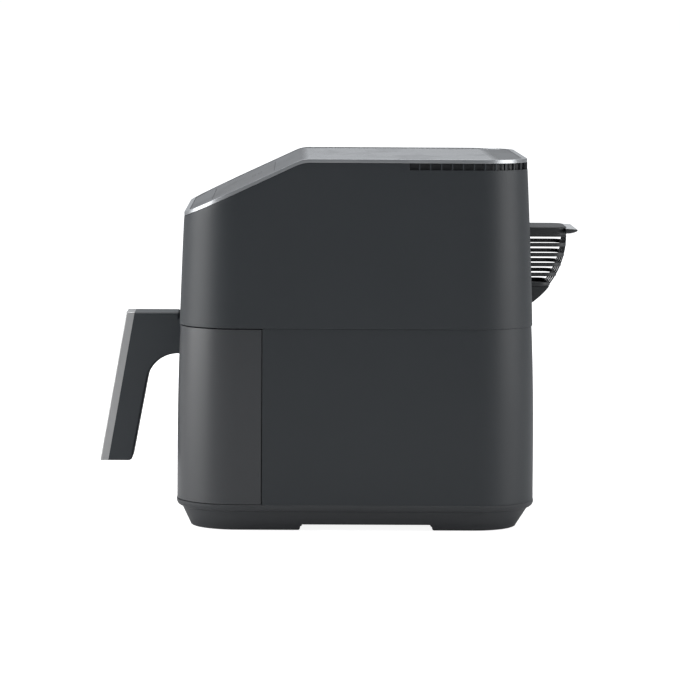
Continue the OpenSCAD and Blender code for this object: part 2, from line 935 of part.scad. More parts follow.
module outlet_grille() placed() color("#2e3033") {
    rib_count = 4;
    rib_t = 2;
    back_wall = body_d / 2 - 1;
    difference() {
        cage_block(outlet_w, 0);
        upper_block(0);
        difference() {
            translate([0, 0, -bite])
                cage_block(outlet_w - 2 * cage_t, cage_t);
            slab(-past, slot_top_z - slot_count * slot_pitch);
        }
        for (i = [1:slot_count])
            difference() {
                intersection() {
                    slab(slot_top_z - i * slot_pitch + (slot_pitch - slot_h), slot_top_z - (i - 1) * slot_pitch);
                    union() {
                        cage_block(outlet_w + 2, cage_t + 0.6);
                        cage_block(outlet_w - 2 * cage_t, -2);
                    }
                }
                translate([-past / 2, 0, 0])
                    cube([past, back_wall + 3, past]);
                for (k = [1:rib_count])
                    block_on(-outlet_w / 2 + k * outlet_w / (rib_count + 1), back_wall + 3, 0, [rib_t, 90, past]);
            }
    }
}

// Repeats what it holds at the hood's two screws, heads inside, pointing back from depth y
module at_hood_screws(y) {
    for (m = [-1, 1])
        translate([m * (outlet_w / 2 - 12), y, hood_top_z - hood_t / 2])
            rotate([90, 0, 0])
                children();
}

module outlet_hood() placed() color("#2b2d30") {
    hood_w = outlet_w + 3;
    hood_r = 9;
    tip_w = hood_w - 2 * hood_r;
    rise_r = 26;
    difference() {
        translate([0, 0, cage_top_z])
            linear_extrude(hood_t)
                intersection() {
                    round_plan(hood_w, body_d + 2 * hood_reach, hood_r);
                    translate([-past / 2, body_d / 2 - 12])
                        square([past, past]);
                }
        upper_block(0);
        at_hood_screws(hood_screw_y)
            translate([0, 0, -hood_screw_l])
                cylinder(r = hood_screw_r, h = hood_screw_l);
    }
    translate([-tip_w / 2, body_d / 2 + hood_reach, hood_top_z - hood_t / 2 + rise_r])
        intersection() {
            rotate([0, 90, 0])
                difference() {
                    cylinder(r = rise_r + lip_t / 2, h = tip_w);
                    translate([0, 0, -1])
                        cylinder(r = rise_r - lip_t / 2, h = tip_w + 2);
                }
            translate([0, -bite, -2 * rise_r])
                cube([tip_w, lip_reach + bite, 2 * rise_r]);
        }
}

module outlet_screws() placed() color("#8c9096") {
    at_hood_screws(hood_screw_y)
        screw(hood_screw_r, hood_screw_l);
}

module exhaust_duct() placed() color("#aeb1b5") {
    low_z = ceiling_z;
    difference() {
        intersection() {
            translate([-duct_w / 2, duct_front_y, low_z])
                cube([duct_w, past, duct_top_z - low_z]);
            upper_block(wall);
        }
        translate([-duct_w / 2 + duct_t, duct_front_y + duct_t, cage_low_z + 6])
            cube([duct_w - 2 * duct_t, past, duct_top_z - cage_low_z - 6 - duct_t]);
        translate([-duct_w / 2 + duct_t, duct_front_y + duct_t, low_z - 1])
            cube([duct_w - 2 * duct_t, 16, cage_low_z + 8 - low_z]);
    }
}

// ---- electrics -----------------------------------------------------------------------

module power_board() placed() color("#1f6b3a") {
    mid_x = body_w / 2 - 28;
    mid_y = 70;
    low_z = seam_z + 34;
    block_on(mid_x, mid_y, low_z, [board_t, 92, 62]);
    block_on(mid_x - 9, mid_y - 24, low_z + 30, [18, 20, 22]);
    block_on(mid_x - 7, mid_y + 6, low_z + 32, [14, 26, 18]);
    block_on(mid_x - 6, mid_y + 32, low_z + 10, [12, 14, 20]);
    intersection() {
        upper_block(wall);
        for (y = [-38, 38], z = [6, 56])
            translate([mid_x, mid_y + y, low_z + z])
                rotate([0, 90, 0])
                    cylinder(r = 3, h = past);
    }
}

module terminal_block() placed() color("#e9e4d6") {
    block_on(gland_x + 34, liner_back_y + 7.5, foot_t + floor_t, [30, 12, 14]);
}

module cord_gland() placed() color("#1a1b1c") {
    rise = lower_flare * 0.85;
    difference() {
        union() {
            translate([gland_x, body_d / 2 - wall - 3, gland_z])
                rotate([-90, 0, 0])
                    cylinder(r = gland_r, h = wall + 3 + rise);
            translate([gland_x, body_d / 2 - wall - 5, gland_z])
                rotate([-90, 0, 0])
                    cylinder(r = gland_r + 2, h = 4);
        }
        translate([gland_x, body_d / 2 - 20, gland_z])
            rotate([-90, 0, 0])
                cylinder(r = 3.6, h = 40);
    }
}

module temperature_sensor() placed() color("#c9ccd0") {
    translate([-heater_r - 4, fan_y, sensor_z])
        rotate([0, 90, 0]) {
            cylinder(r = sensor_r, h = 16);
            cylinder(r = sensor_head_r, h = 4);
        }
}

module thermal_cutout() placed() color("#8d6f4f") {
    cutout_x = cooler_r;
    cutout_y = fan_y - cooler_r + 9;
    block_on(cutout_x, cutout_y, shield_z, [22, 10, 3]);
    post(cutout_x, cutout_y, shield_z, 8, 7);
}

module interlock_switch() placed() color("#202124") {
    difference() {
        switch_body(0);
        translate([switch_x, liner_front_y, switch_z])
            rotate([-90, 0, 0])
                cylinder(r = plunger_r + 0.3, h = 16);
    }
}

module switch_plunger() placed() color("#c8452f") {
    translate([switch_x, plunger_front_y, switch_z])
        rotate([-90, 0, 0])
            cylinder(r = plunger_r, h = plunger_l);
}

// ---- drawer --------------------------------------------------------------------------

module drawer_cover() placed() color("#393b3f") {
    difference() {
        intersection() {
            difference() {
                lower_block(0);
                lower_block(wall);
            }
            translate([-past, wing_y - past, cover_z])
                cube([2 * past, past, cover_top_z - cover_z]);
        }
        at_handle_screws(inner_panel_y)
            cylinder(r = screw_r, h = past);
    }
}

// Repeats what it holds at the handle's two screws, pointing forward from depth y
module at_handle_screws(y) {
    for (x = [-1, 1])
        translate([x * 8, y, handle_top_z - arm_h / 2 - 2])
            rotate([90, 0, 0])
                children();
}

// Repeats what it holds at the pan's two screws, pointing back from depth y
module at_pan_screws(y) {
    for (x = [-1, 1])
        translate([x * 60, y, pan_top_z - 30])
            rotate([-90, 0, 0])
                children();
}

module drawer_panel() placed() color("#2a2c2f") {
    back_y = inner_panel_y;
    low_z = cover_z + deck_in;
    high_z = cover_top_z - deck_in;
    difference() {
        intersection() {
            lower_block(wall + fit_gap);
            translate([-past, back_y - past, low_z])
                cube([2 * past, past, high_z - low_z]);
        }
        intersection() {
            lower_block(2 * wall);
            translate([-past, back_y - panel_wall - past, low_z + deck_t])
                cube([2 * past, past, high_z - low_z - 2 * deck_t]);
        }
        at_handle_screws(back_y + bite)
            cylinder(r = 5, h = panel_wall + 2 * bite);
        at_handle_screws(back_y)
            cylinder(r = screw_r, h = past);
        at_pan_screws(back_y - panel_wall - bite)
            cylinder(r = screw_r, h = panel_wall + 2 * bite);
    }
}

// Side outline of the arm and grip, as (forward, up)
function grip_outline() =
    let (
        lean = tan(grip_lean),
        inner_low_u = grip_low_u - grip_t,
        turn = 90 - grip_lean,
        inner_at_arm = inner_low_u - (arm_low_z - handle_low_z) * lean,
        back_off = grip_blend_r * tan(turn / 2),
        mid = [inner_at_arm - back_off, arm_low_z - grip_blend_r]
    )
    concat(
        [[joint_u, handle_top_z], [grip_top_u, handle_top_z], [grip_low_u, handle_low_z]],
        arc([inner_low_u + handle_end_r, handle_low_z + handle_end_r], handle_end_r, 270, 180 + grip_lean),
        arc(mid, grip_blend_r, grip_lean, 90),
        [[-bite, arm_low_z], [-bite, seam_z - drawer_gap], [joint_u, seam_z - drawer_gap]]
    );

// Draws an outline given as (forward, up) out to the handle's width
module across(width) {
    translate([0, -body_d / 2, 0])
        rotate([90, 0, -90])
            translate([0, 0, -width / 2])
                linear_extrude(width)
                    children();
}

module handle_body() placed() color("#35373a") {
    difference() {
        across(handle_w)
            polygon(grip_outline());
        lower_block(0);
        at_handle_screws(-body_d / 2 + 1)
            cylinder(r = screw_r, h = 14);
    }
}

module handle_plate() placed() color("#b4b5b7") {
    across(handle_w)
        polygon([
            [grip_top_u, handle_top_z],
            [face_top_u, handle_top_z],
            [face_low_u, handle_low_z],
            [grip_low_u, handle_low_z]
        ]);
}

module handle_screws() placed() color("#8c9096") {
    head_y = -body_d / 2 + 2 * wall + seam_step;
    at_handle_screws(head_y)
        mirror([0, 0, 1])
            screw(screw_r, 2 * wall + 12);
}

// The pan's solid, drawn in by shrink, from its floor to its rim
module pan_block(shrink, low, high) {
    grow = pan_draft;
    w = pan_w - 2 * (rim_w + grow + shrink);
    d = pan_d - 2 * (rim_w + grow + shrink);
    translate([0, pan_y, low])
        draft_block(w, d, pan_r - rim_w - grow - shrink + 4, -grow, high - low);
}

module cooking_pan() placed() color("#232426") {
    difference() {
        union() {
            pan_block(0, pan_floor_z, pan_top_z);
            translate([0, pan_y, pan_top_z - 2])
                linear_extrude(2)
                    round_plan(pan_w, pan_d, pan_r);
            at_pan_screws(pan_front_y)
                cylinder(r = 6, h = rim_w + pan_draft);
        }
        pan_block(pan_t, pan_floor_z + pan_t, pan_top_z + bite);
        at_pan_screws(pan_front_y - 1)
            cylinder(r = screw_r, h = 14);
    }
}

module pan_screws() placed() color("#8c9096") {
    at_pan_screws(inner_panel_y - panel_wall)
        mirror([0, 0, 1])
            screw(screw_r, panel_wall + 6);
}

module crisper_plate() placed() color("#2c2d2f") {
    hole_pitch = 3.2 * plate_hole_r;
    columns = floor((plate_w / 2 - plate_r * 0.5) / hole_pitch) - 1;
    rows = floor((plate_d / 2 - plate_r * 0.5) / hole_pitch) - 1;
    difference() {
        union() {
            translate([0, pan_y, plate_z])
                linear_extrude(plate_t)
                    round_plan(plate_w, plate_d, plate_r);
            for (x = [-1, 1], y = [-1, 1])
                post(x * plate_w * 0.3, pan_y + y * plate_d * 0.3, pan_floor_z + pan_t + 0.4, 4, plate_lift);
        }
        for (i = [-columns:columns], j = [-rows:rows])
            if ((i + j) % 2 == 0 && abs(i) + abs(j) > 1)
                post(i * hole_pitch, pan_y + j * hole_pitch, plate_z - 1, plate_hole_r, plate_t + 2);
    }
}

module plate_bumpers() placed() color("#4a4b4d") {
    for (turn = [0:3]) {
        half = turn % 2 == 0 ? plate_w / 2 : plate_d / 2;
        translate([0, pan_y, plate_z])
            rotate([0, 0, 90 * turn])
                translate([half, -bumper_l / 2, 0])
                    cube([bumper_w, bumper_l, plate_t + 4]);
    }
}

// ---- one node at a time, or all ------------------------------------------------------

upper_housing();
top_trim();
top_panel();
control_lens();
display_module();
control_board();
lower_housing();
chamber_frame();
base_plinth();
rubber_feet();
base_screws();
chamber_liner();
drawer_rails();
drawer_catches();
chamber_ceiling();
heater_housing();
heating_element();
element_clips();
element_guard();
insulation_mat();
heat_shield();
motor_bracket();
motor_stator();
motor_coil();
motor_bridge();
lower_bearing();
upper_bearing();
motor_screws();
exhaust_duct();
outlet_grille();
outlet_hood();
outlet_screws();
power_board();
terminal_block();
cord_gland();
temperature_sensor();
thermal_cutout();
interlock_switch();
drawer_cover();
drawer_panel();
handle_body();
handle_plate();
handle_screws();
cooking_pan();
pan_screws();
crisper_plate();
plate_bumpers();
convection_fan();
motor_shaft();
motor_rotor();
cooling_fan();
fan_nut();
switch_plunger();
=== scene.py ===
"""Basket air fryer: its casing, drawer, air outlet and works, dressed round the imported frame.

Lengths are in metres in the row frame: +Z up, the drawer's face towards -Y.
"""

import json
import logging
import math
from collections.abc import Callable, Iterable, Iterator, Sequence
from contextlib import contextmanager
from dataclasses import dataclass
from enum import Enum

import bmesh
import bpy
from mathutils import Matrix, Vector

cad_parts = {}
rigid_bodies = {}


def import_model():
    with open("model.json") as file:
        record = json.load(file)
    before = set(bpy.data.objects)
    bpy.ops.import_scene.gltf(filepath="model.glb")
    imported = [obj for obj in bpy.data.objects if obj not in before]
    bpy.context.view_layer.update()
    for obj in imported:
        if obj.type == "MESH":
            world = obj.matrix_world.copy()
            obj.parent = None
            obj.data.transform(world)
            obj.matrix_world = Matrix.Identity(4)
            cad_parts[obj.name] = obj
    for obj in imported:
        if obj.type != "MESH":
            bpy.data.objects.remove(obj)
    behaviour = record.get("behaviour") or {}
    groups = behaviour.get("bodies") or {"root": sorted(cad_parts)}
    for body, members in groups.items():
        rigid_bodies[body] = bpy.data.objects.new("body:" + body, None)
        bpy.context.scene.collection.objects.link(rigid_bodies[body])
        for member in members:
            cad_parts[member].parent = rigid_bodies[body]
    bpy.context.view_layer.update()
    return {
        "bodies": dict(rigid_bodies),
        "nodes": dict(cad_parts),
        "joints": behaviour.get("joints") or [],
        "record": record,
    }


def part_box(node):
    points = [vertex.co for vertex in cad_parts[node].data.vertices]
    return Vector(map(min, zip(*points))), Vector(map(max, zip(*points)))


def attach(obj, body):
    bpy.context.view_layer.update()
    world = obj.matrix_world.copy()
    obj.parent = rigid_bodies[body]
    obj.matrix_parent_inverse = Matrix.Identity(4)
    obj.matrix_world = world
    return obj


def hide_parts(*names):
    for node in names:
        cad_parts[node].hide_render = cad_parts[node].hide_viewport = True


LOG = logging.getLogger("air_fryer")
MM = 0.001
TINY = 0.001 * MM
Point = tuple[float, float, float]
Flat = tuple[float, float]
Colour = tuple[float, float, float]


class Body(Enum):
    """The frame's moving bodies."""

    APPLIANCE = "appliance"
    DRAWER = "drawer"
    CRISPER = "crisper"
    FAN = "fan"
    PLUNGER = "plunger"


# ---- node trees ----------------------------------------------------------------------


class Net:
    """A node tree that is filled in node by node."""

    def __init__(self, tree: bpy.types.NodeTree) -> None:
        """Takes the tree as it is."""
        self.tree = tree

    def node(self, kind: str, links: dict | None = None, **settings: object) -> bpy.types.Node:
        """Adds a node.

        Args:
            kind: Blender's name of the node.
            links: For each input, by name or place, a socket to link or a value to set.
            settings: The node's own properties.

        Returns:
            The node.
        """
        made = self.tree.nodes.new(kind)
        for name, value in settings.items():
            setattr(made, name, value)
        for key, value in (links or {}).items():
            self.feed(made.inputs[key], value)
        return made

    def out(self, kind: str, links: dict | None = None, **settings: object) -> bpy.types.NodeSocket:
        """Adds a node as node() does, and gives its first output."""
        return self.node(kind, links, **settings).outputs[0]

    def feed(self, target: bpy.types.NodeSocket, value: object) -> None:
        """Links or sets one input.

        Args:
            target: The input.
            value: A socket, several sockets, or a plain value.
        """
        if isinstance(value, bpy.types.NodeSocket):
            self.tree.links.new(value, target)
        elif isinstance(value, list):
            for one in value:
                self.tree.links.new(one, target)
        else:
            target.default_value = value


class Recipe(Net):
    """A node group with named inputs and outputs."""

    def __init__(self, name: str, kind: str = "GeometryNodeTree") -> None:
        """Starts an empty group.

        Args:
            name: What the group is called.
            kind: The sort of tree, for geometry or for shading.
        """
        super().__init__(bpy.data.node_groups.new(name, kind))
        self.start = self.tree.nodes.new("NodeGroupInput")
        self.end = self.tree.nodes.new("NodeGroupOutput")

    def takes(self, **inputs: tuple) -> None:
        """Names the group's inputs.

        Args:
            inputs: For each name, its socket's kind and, if it has one, its first value.
        """
        for name, (kind, *first) in inputs.items():
            socket = self.tree.interface.new_socket(name, in_out="INPUT", socket_type=f"NodeSocket{kind}")
            if first:
                socket.default_value = first[0]

    def gives(self, **outputs: str) -> None:
        """Names the group's outputs.

        Args:
            outputs: For each name, its socket's kind.
        """
        for name, kind in outputs.items():
            self.tree.interface.new_socket(name, in_out="OUTPUT", socket_type=f"NodeSocket{kind}")

    def math(self, operation: str, a: object, b: object = 0.0) -> bpy.types.NodeSocket:
        """One sum of two numbers, as a socket."""
        return self.out("ShaderNodeMath", {0: a, 1: b}, operation=operation)

    def vector(self, x: object = 0.0, y: object = 0.0, z: object = 0.0) -> bpy.types.NodeSocket:
        """A vector put together from three numbers, as a socket."""
        return self.out("ShaderNodeCombineXYZ", {0: x, 1: y, 2: z})

    def get(self, name: str) -> bpy.types.NodeSocket:
        """The socket inside the group of one of its inputs."""
        return self.start.outputs[name]

    def put(self, name: str, value: bpy.types.NodeSocket) -> None:
        """Links one of the group's outputs."""
        self.tree.links.new(value, self.end.inputs[name])


def settle(piece: bpy.types.Object) -> bpy.types.Object:
    """Turns a piece's modifiers into plain mesh.

    Args:
        piece: A mesh object.

    Returns:
        The same object without its modifiers.
    """
    graph = bpy.context.evaluated_depsgraph_get()
    made = bpy.data.meshes.new_from_object(piece.evaluated_get(graph), depsgraph=graph)
    piece.modifiers.clear()
    old = piece.data
    piece.data = made
    made.name = piece.name
    bpy.data.meshes.remove(old)
    return piece


def cook(piece: bpy.types.Object, recipe: Recipe, material: bpy.types.Material,
         **values: object) -> bpy.types.Object:
    """Runs a geometry recipe on a piece and keeps the result as plain mesh.

    Args:
        piece: The object whose mesh goes in.
        recipe: The recipe.
        material: What the result is made of.
        values: The recipe's other inputs by name.

    Returns:
        The same object.
    """
    modifier = piece.modifiers.new(recipe.tree.name, "NODES")
    modifier.node_group = recipe.tree
    values["Material"] = material
    for item in recipe.tree.interface.items_tree:
        if item.item_type == "SOCKET" and item.in_out == "INPUT" and item.name in values:
            modifier[item.identifier] = values[item.name]
    return settle(piece)


# ---- mesh helpers --------------------------------------------------------------------


def mesh_piece(name: str, points: Sequence[Point], faces: Sequence[Sequence[int]],
               edges: Sequence[tuple[int, int]] = ()) -> bpy.types.Object:
    """Makes a mesh object at the origin.

    Args:
        name: Its name.
        points: Corners in the row frame.
        faces: Faces as lists of corners.
        edges: Loose edges, for a path.

    Returns:
        The object, in the scene.
    """
    mesh = bpy.data.meshes.new(name)
    mesh.from_pydata(points, edges, faces)
    mesh.update()
    piece = bpy.data.objects.new(name, mesh)
    bpy.context.scene.collection.objects.link(piece)
    return piece


@contextmanager
def opened(piece: bpy.types.Object) -> Iterator[bmesh.types.BMesh]:
    """Opens a piece's mesh for editing, and writes it back afterwards."""
    work = bmesh.new()
    work.from_mesh(piece.data)
    work.verts.ensure_lookup_table()
    yield work
    work.to_mesh(piece.data)
    work.free()


def turn_outwards(piece: bpy.types.Object) -> bpy.types.Object:
    """Merges a piece's doubles and makes its faces point outwards."""
    with opened(piece) as work:
        bmesh.ops.remove_doubles(work, verts=work.verts, dist=TINY)
        bmesh.ops.recalc_face_normals(work, faces=work.faces)
    return piece


def mark_edges(piece: bpy.types.Object, edge_angle: float, spare: Callable[[Vector], bool]) -> None:
    """Weights the edges that a rounding takes.

    Args:
        piece: The object.
        edge_angle: Angle in degrees above which an edge is rounded.
        spare: Says of a point whether it lies where edges stay as they are.
    """
    with opened(piece) as work:
        weight = work.edges.layers.float.new("bevel_weight_edge")
        for edge in work.edges:
            turned = edge.is_manifold and edge.calc_face_angle() > math.radians(edge_angle)
            edge[weight] = float(turned and not all(spare(v.co) for v in edge.verts))


def trim_up(piece: bpy.types.Object, wall: float = 0.0, edge: float = 0.0, steps: int = 2,
            sharp: float = 38.0, edge_angle: float = 32.0,
            spare: Callable[[Vector], bool] | None = None) -> bpy.types.Object:
    """Gives a piece its wall and rounded edges, and smooths its shading.

    Args:
        piece: The object.
        wall: Thickness that a single surface gets inwards, if any.
        edge: Width of the rounding along edges, if any.
        steps: Segments of that rounding.
        sharp: Angle in degrees above which an edge stays sharp.
        edge_angle: Angle in degrees above which an edge is rounded.
        spare: Says of a point whether it lies where edges stay as they are.

    Returns:
        The same object with plain mesh.
    """
    if spare:
        mark_edges(piece, edge_angle, spare)
    if wall:
        thick = piece.modifiers.new("wall", "SOLIDIFY")
        thick.thickness = wall
        thick.offset = -1.0
        thick.use_even_offset = True
    if edge:
        round_off = piece.modifiers.new("edge", "BEVEL")
        round_off.width = edge
        round_off.segments = steps
        round_off.limit_method = "WEIGHT" if spare else "ANGLE"
        round_off.angle_limit = math.radians(edge_angle)
        round_off.use_clamp_overlap = True
    if wall or edge:
        settle(piece)
    for face in piece.data.polygons:
        face.use_smooth = True
    piece.data.set_sharp_from_angle(angle=math.radians(sharp))
    weighted = piece.modifiers.new("shading", "WEIGHTED_NORMAL")
    weighted.keep_sharp = True
    weighted.weight = 80
    return settle(piece)


def cut_away(piece: bpy.types.Object, cutters: Iterable[bpy.types.Object]) -> bpy.types.Object:
    """Cuts solids out of a piece and removes them.

    Args:
        piece: The object that is cut.
        cutters: Closed solids.

    Returns:
        The same object with plain mesh.
    """
    gone = list(cutters)
    for cutter in gone:
        boolean = piece.modifiers.new("cut", "BOOLEAN")
        boolean.operation = "DIFFERENCE"
        boolean.solver = "EXACT"
        boolean.object = cutter
    settle(piece)
    for cutter in gone:
        bpy.data.objects.remove(cutter)
    return piece


def joined(name: str, parts: Sequence[bpy.types.Object]) -> bpy.types.Object:
    """Puts several meshes in one piece, kept as separate solids.

    Args:
        name: The new piece's name.
        parts: The objects, which are used up.

    Returns:
        The new object.
    """
    work = bmesh.new()
    for part in parts:
        work.from_mesh(part.data)
    mesh = bpy.data.meshes.new(name)
    work.to_mesh(mesh)
    work.free()
    for material in parts[0].data.materials:
        mesh.materials.append(material)
    for part in parts:
        bpy.data.objects.remove(part)
    piece = bpy.data.objects.new(name, mesh)
    bpy.context.scene.collection.objects.link(piece)
    return piece


def arc(centre: Flat, radius: float, start: float, stop: float, steps: int = 8) -> list[Flat]:
    """Points of an arc, with its angles in degrees."""
    turn = [math.radians(start + (stop - start) * i / steps) for i in range(steps + 1)]
    return [(centre[0] + radius * math.cos(a), centre[1] + radius * math.sin(a)) for a in turn]


def prism(name: str, outline: Sequence[Flat], half: float,
          place: Callable[[float, float, float], Point]) -> bpy.types.Object:
    """Draws a flat outline out to both sides of its plane.

    Args:
        name: The piece's name.
        outline: Its corners in order.
        half: How far it goes to each side.
        place: Turns (first, second, side) into a point of the row frame.

    Returns:
        The closed solid.
    """
    count = len(outline)
    points = [place(a, b, side) for side in (-half, half) for a, b in outline]
    faces = [list(range(count)), list(range(count, 2 * count))]
    faces += [[i, (i + 1) % count, count + (i + 1) % count, count + i] for i in range(count)]
    return turn_outwards(mesh_piece(name, points, faces))


def side_on(a: float, b: float, side: float) -> Point:
    """Reads an outline as (depth, height) and draws it out across the width."""
    return (side, a, b)


@dataclass(frozen=True)
class Station:
    """A place on an outline in plan, and the way that faces out there."""

    x: float
    y: float
    out_x: float
    out_y: float

    def at(self, inset: float, z: float) -> Point:
        """The point drawn in by inset at a height."""
        return (self.x - inset * self.out_x, self.y - inset * self.out_y, z)

    def mirrored(self) -> "Station":
        """The same place on the other side."""
        return Station(-self.x, self.y, -self.out_x, self.out_y)


@dataclass(frozen=True)
class Outline:
    """A rounded rectangle in plan, as stations in order round it."""

    half_x: float
    half_y: float
    radius: float
    middle_y: float
    breaks: tuple[float, ...] = ()
    step: float = 12 * MM
    turn_steps: int = 16

    def right_half(self) -> list[Station]:
        """Stations from the middle of the front, along +X, to the middle of the back."""
        in_x, in_y = self.half_x - self.radius, self.half_y - self.radius
        across = max(1, round(in_x / self.step))
        front = [Station(in_x * i / across, self.middle_y - self.half_y, 0, -1) for i in range(across)]
        turn = [math.radians(90 * i / self.turn_steps) for i in range(self.turn_steps + 1)]
        corner = [
            Station(in_x + self.radius * math.sin(a), self.middle_y - in_y - self.radius * math.cos(a),
                    math.sin(a), -math.cos(a))
            for a in turn
        ]
        count = max(1, round(2 * in_y / self.step))
        even = [self.middle_y - in_y + 2 * in_y * i / count for i in range(1, count)]
        breaks = [y for y in self.breaks if abs(y - self.middle_y) < in_y - MM]
        even = [y for y in even if all(abs(y - b) > 2 * MM for b in breaks)]
        side = [Station(self.half_x, y, 1, 0) for y in sorted(even + breaks)]
        flip = 2 * self.middle_y
        back = [Station(s.x, flip - s.y, s.out_x, -s.out_y) for s in reversed(front + corner)]
        return front + corner + side + back

    def all_round(self) -> list[Station]:
        """Stations all the way round, starting in the middle of the front."""
        half = self.right_half()
        return half + [s.mirrored() for s in reversed(half[1:-1])]

    def corner_to_corner(self) -> list[Station]:
        """Stations of the +X side from the front corner's start to the back corner's end."""
        return [s for s in self.right_half() if s.out_x > 0 or abs(s.x - self.half_x + self.radius) < 1e-9]


def strip(name: str, columns: Sequence[Sequence[Point]], closed: bool,
          skip: Callable[[int, int], bool] = lambda column, row: False) -> bpy.types.Object:
    """Makes a surface from columns of points that stand side by side.

    Args:
        name: The piece's name.
        columns: The columns, each from its low end up, in order anticlockwise seen from above.
        closed: Whether the last column joins the first.
        skip: Says which faces are left out, by column and row.

    Returns:
        The surface, which faces outwards.
    """
    rows = len(columns[0])
    points = [p for column in columns for p in column]
    faces = []
    for i in range(len(columns) if closed else len(columns) - 1):
        j = (i + 1) % len(columns)
        for k in range(rows - 1):
            if not skip(i, k):
                faces.append([i * rows + k, j * rows + k, j * rows + k + 1, i * rows + k + 1])
    return mesh_piece(name, points, faces)


def loop_strip(name: str, columns: Sequence[Sequence[Point]]) -> bpy.types.Object:
    """Makes a closed ring-shaped solid whose section at each column is a closed loop of points."""
    return turn_outwards(strip(name, [[*column, column[0]] for column in columns], closed=True))


# ---- finishes ------------------------------------------------------------------------


def shader_group(name: str, inputs: dict[str, tuple], outputs: dict[str, str]) -> Recipe:
    """Starts a shading group that takes a position and what else is named."""
    made = Recipe(name, "ShaderNodeTree")
    made.takes(Vector=("Vector",), **inputs)
    made.gives(**outputs)
    return made


def noise(recipe: Recipe, scale: object, detail: float = 2.0, vector: object = None) -> bpy.types.NodeSocket:
    """A noise that runs from 0 to 1, read at the group's own position unless another is given."""
    made = recipe.node("ShaderNodeTexNoise", {"Vector": vector or recipe.get("Vector"), "Scale": scale,
                                              "Detail": detail, "Roughness": 0.55})
    return made.outputs["Fac"]


def around(recipe: Recipe, base: object, amount: object, wave: bpy.types.NodeSocket) -> bpy.types.NodeSocket:
    """A number that strays from base by up to about amount, as a noise says."""
    centred = recipe.math("SUBTRACT", wave, 0.5)
    return recipe.math("ADD", base, recipe.math("MULTIPLY", recipe.math("MULTIPLY", centred, 2.0), amount))


def tinted(recipe: Recipe, colour: object, amount: object,
           wave: bpy.types.NodeSocket) -> bpy.types.NodeSocket:
    """A colour made lighter and darker by up to about amount, as a noise says."""
    level = around(recipe, 1.0, amount, wave)
    grey = recipe.vector(level, level, level)
    return recipe.node("ShaderNodeMix", {0: 1.0, 6: colour, 7: grey}, data_type="RGBA",
                       blend_type="MULTIPLY", clamp_result=False).outputs[2]


def blended(recipe: Recipe, main: bpy.types.NodeSocket, share: float,
            rest: bpy.types.NodeSocket) -> bpy.types.NodeSocket:
    """Two noises added up, the first with its share and the second with what is left."""
    kept = recipe.math("MULTIPLY", main, share)
    return recipe.math("ADD", kept, recipe.math("MULTIPLY", rest, round(1 - share, 6)))


def moulded_grain() -> Recipe:
    """The eroded grain of a moulding tool, with a slow drift of tone and gloss."""
    made = shader_group(
        "moulded_grain",
        {"Colour": ("Color",), "Drift": ("Float", 0.05), "Roughness": ("Float", 0.4),
         "Spread": ("Float", 0.05), "Grain": ("Float", 1200.0)},
        {"Colour": "Color", "Roughness": "Float", "Height": "Float"},
    )
    fine = noise(made, made.get("Grain"), 3.0)
    coarse = noise(made, made.math("MULTIPLY", made.get("Grain"), 0.35), 1.0)
    slow = noise(made, 14.0, 3.0)
    made.put("Colour", tinted(made, made.get("Colour"), made.get("Drift"), slow))
    gloss = blended(made, slow, 0.6, coarse)
    made.put("Roughness", around(made, made.get("Roughness"), made.get("Spread"), gloss))
    made.put("Height", blended(made, fine, 0.65, coarse))
    return made


def drawn_lines() -> Recipe:
    """Fine parallel lines of brushed or rolled metal, along the stretch that Lines gives."""
    made = shader_group(
        "drawn_lines",
        {"Colour": ("Color",), "Drift": ("Float", 0.08), "Roughness": ("Float", 0.3),
         "Spread": ("Float", 0.08), "Lines": ("Vector", (40.0, 40.0, 1800.0))},
        {"Colour": "Color", "Roughness": "Float", "Height": "Float"},
    )
    stretched = made.node("ShaderNodeVectorMath", {0: made.get("Vector"), 1: made.get("Lines")},
                          operation="MULTIPLY").outputs[0]
    lines = noise(made, 1.0, 4.0, stretched)
    slow = noise(made, 18.0, 2.0)
    both = blended(made, lines, 0.7, slow)
    made.put("Colour", tinted(made, made.get("Colour"), made.get("Drift"), both))
    made.put("Roughness", around(made, made.get("Roughness"), made.get("Spread"), both))
    made.put("Height", lines)
    return made


def handling_marks() -> Recipe:
    """Faint wiped marks that change the gloss of whatever they lie on."""
    made = shader_group(
        "handling_marks",
        {"Roughness": ("Float", 0.3), "Amount": ("Float", 0.08)},
        {"Roughness": "Float", "Mask": "Float"},
    )
    streak = made.node("ShaderNodeVectorMath", {0: made.get("Vector"), 1: (9.0, 26.0, 12.0)},
                       operation="MULTIPLY").outputs[0]
    cloud = noise(made, 1.0, 5.0, streak)
    mask = made.out("ShaderNodeMapRange", {"Value": cloud, "From Min": 0.48, "From Max": 0.72})
    made.put("Mask", mask)
    more = made.math("MULTIPLY", mask, made.get("Amount"))
    made.put("Roughness", made.math("ADD", made.get("Roughness"), more))
    return made


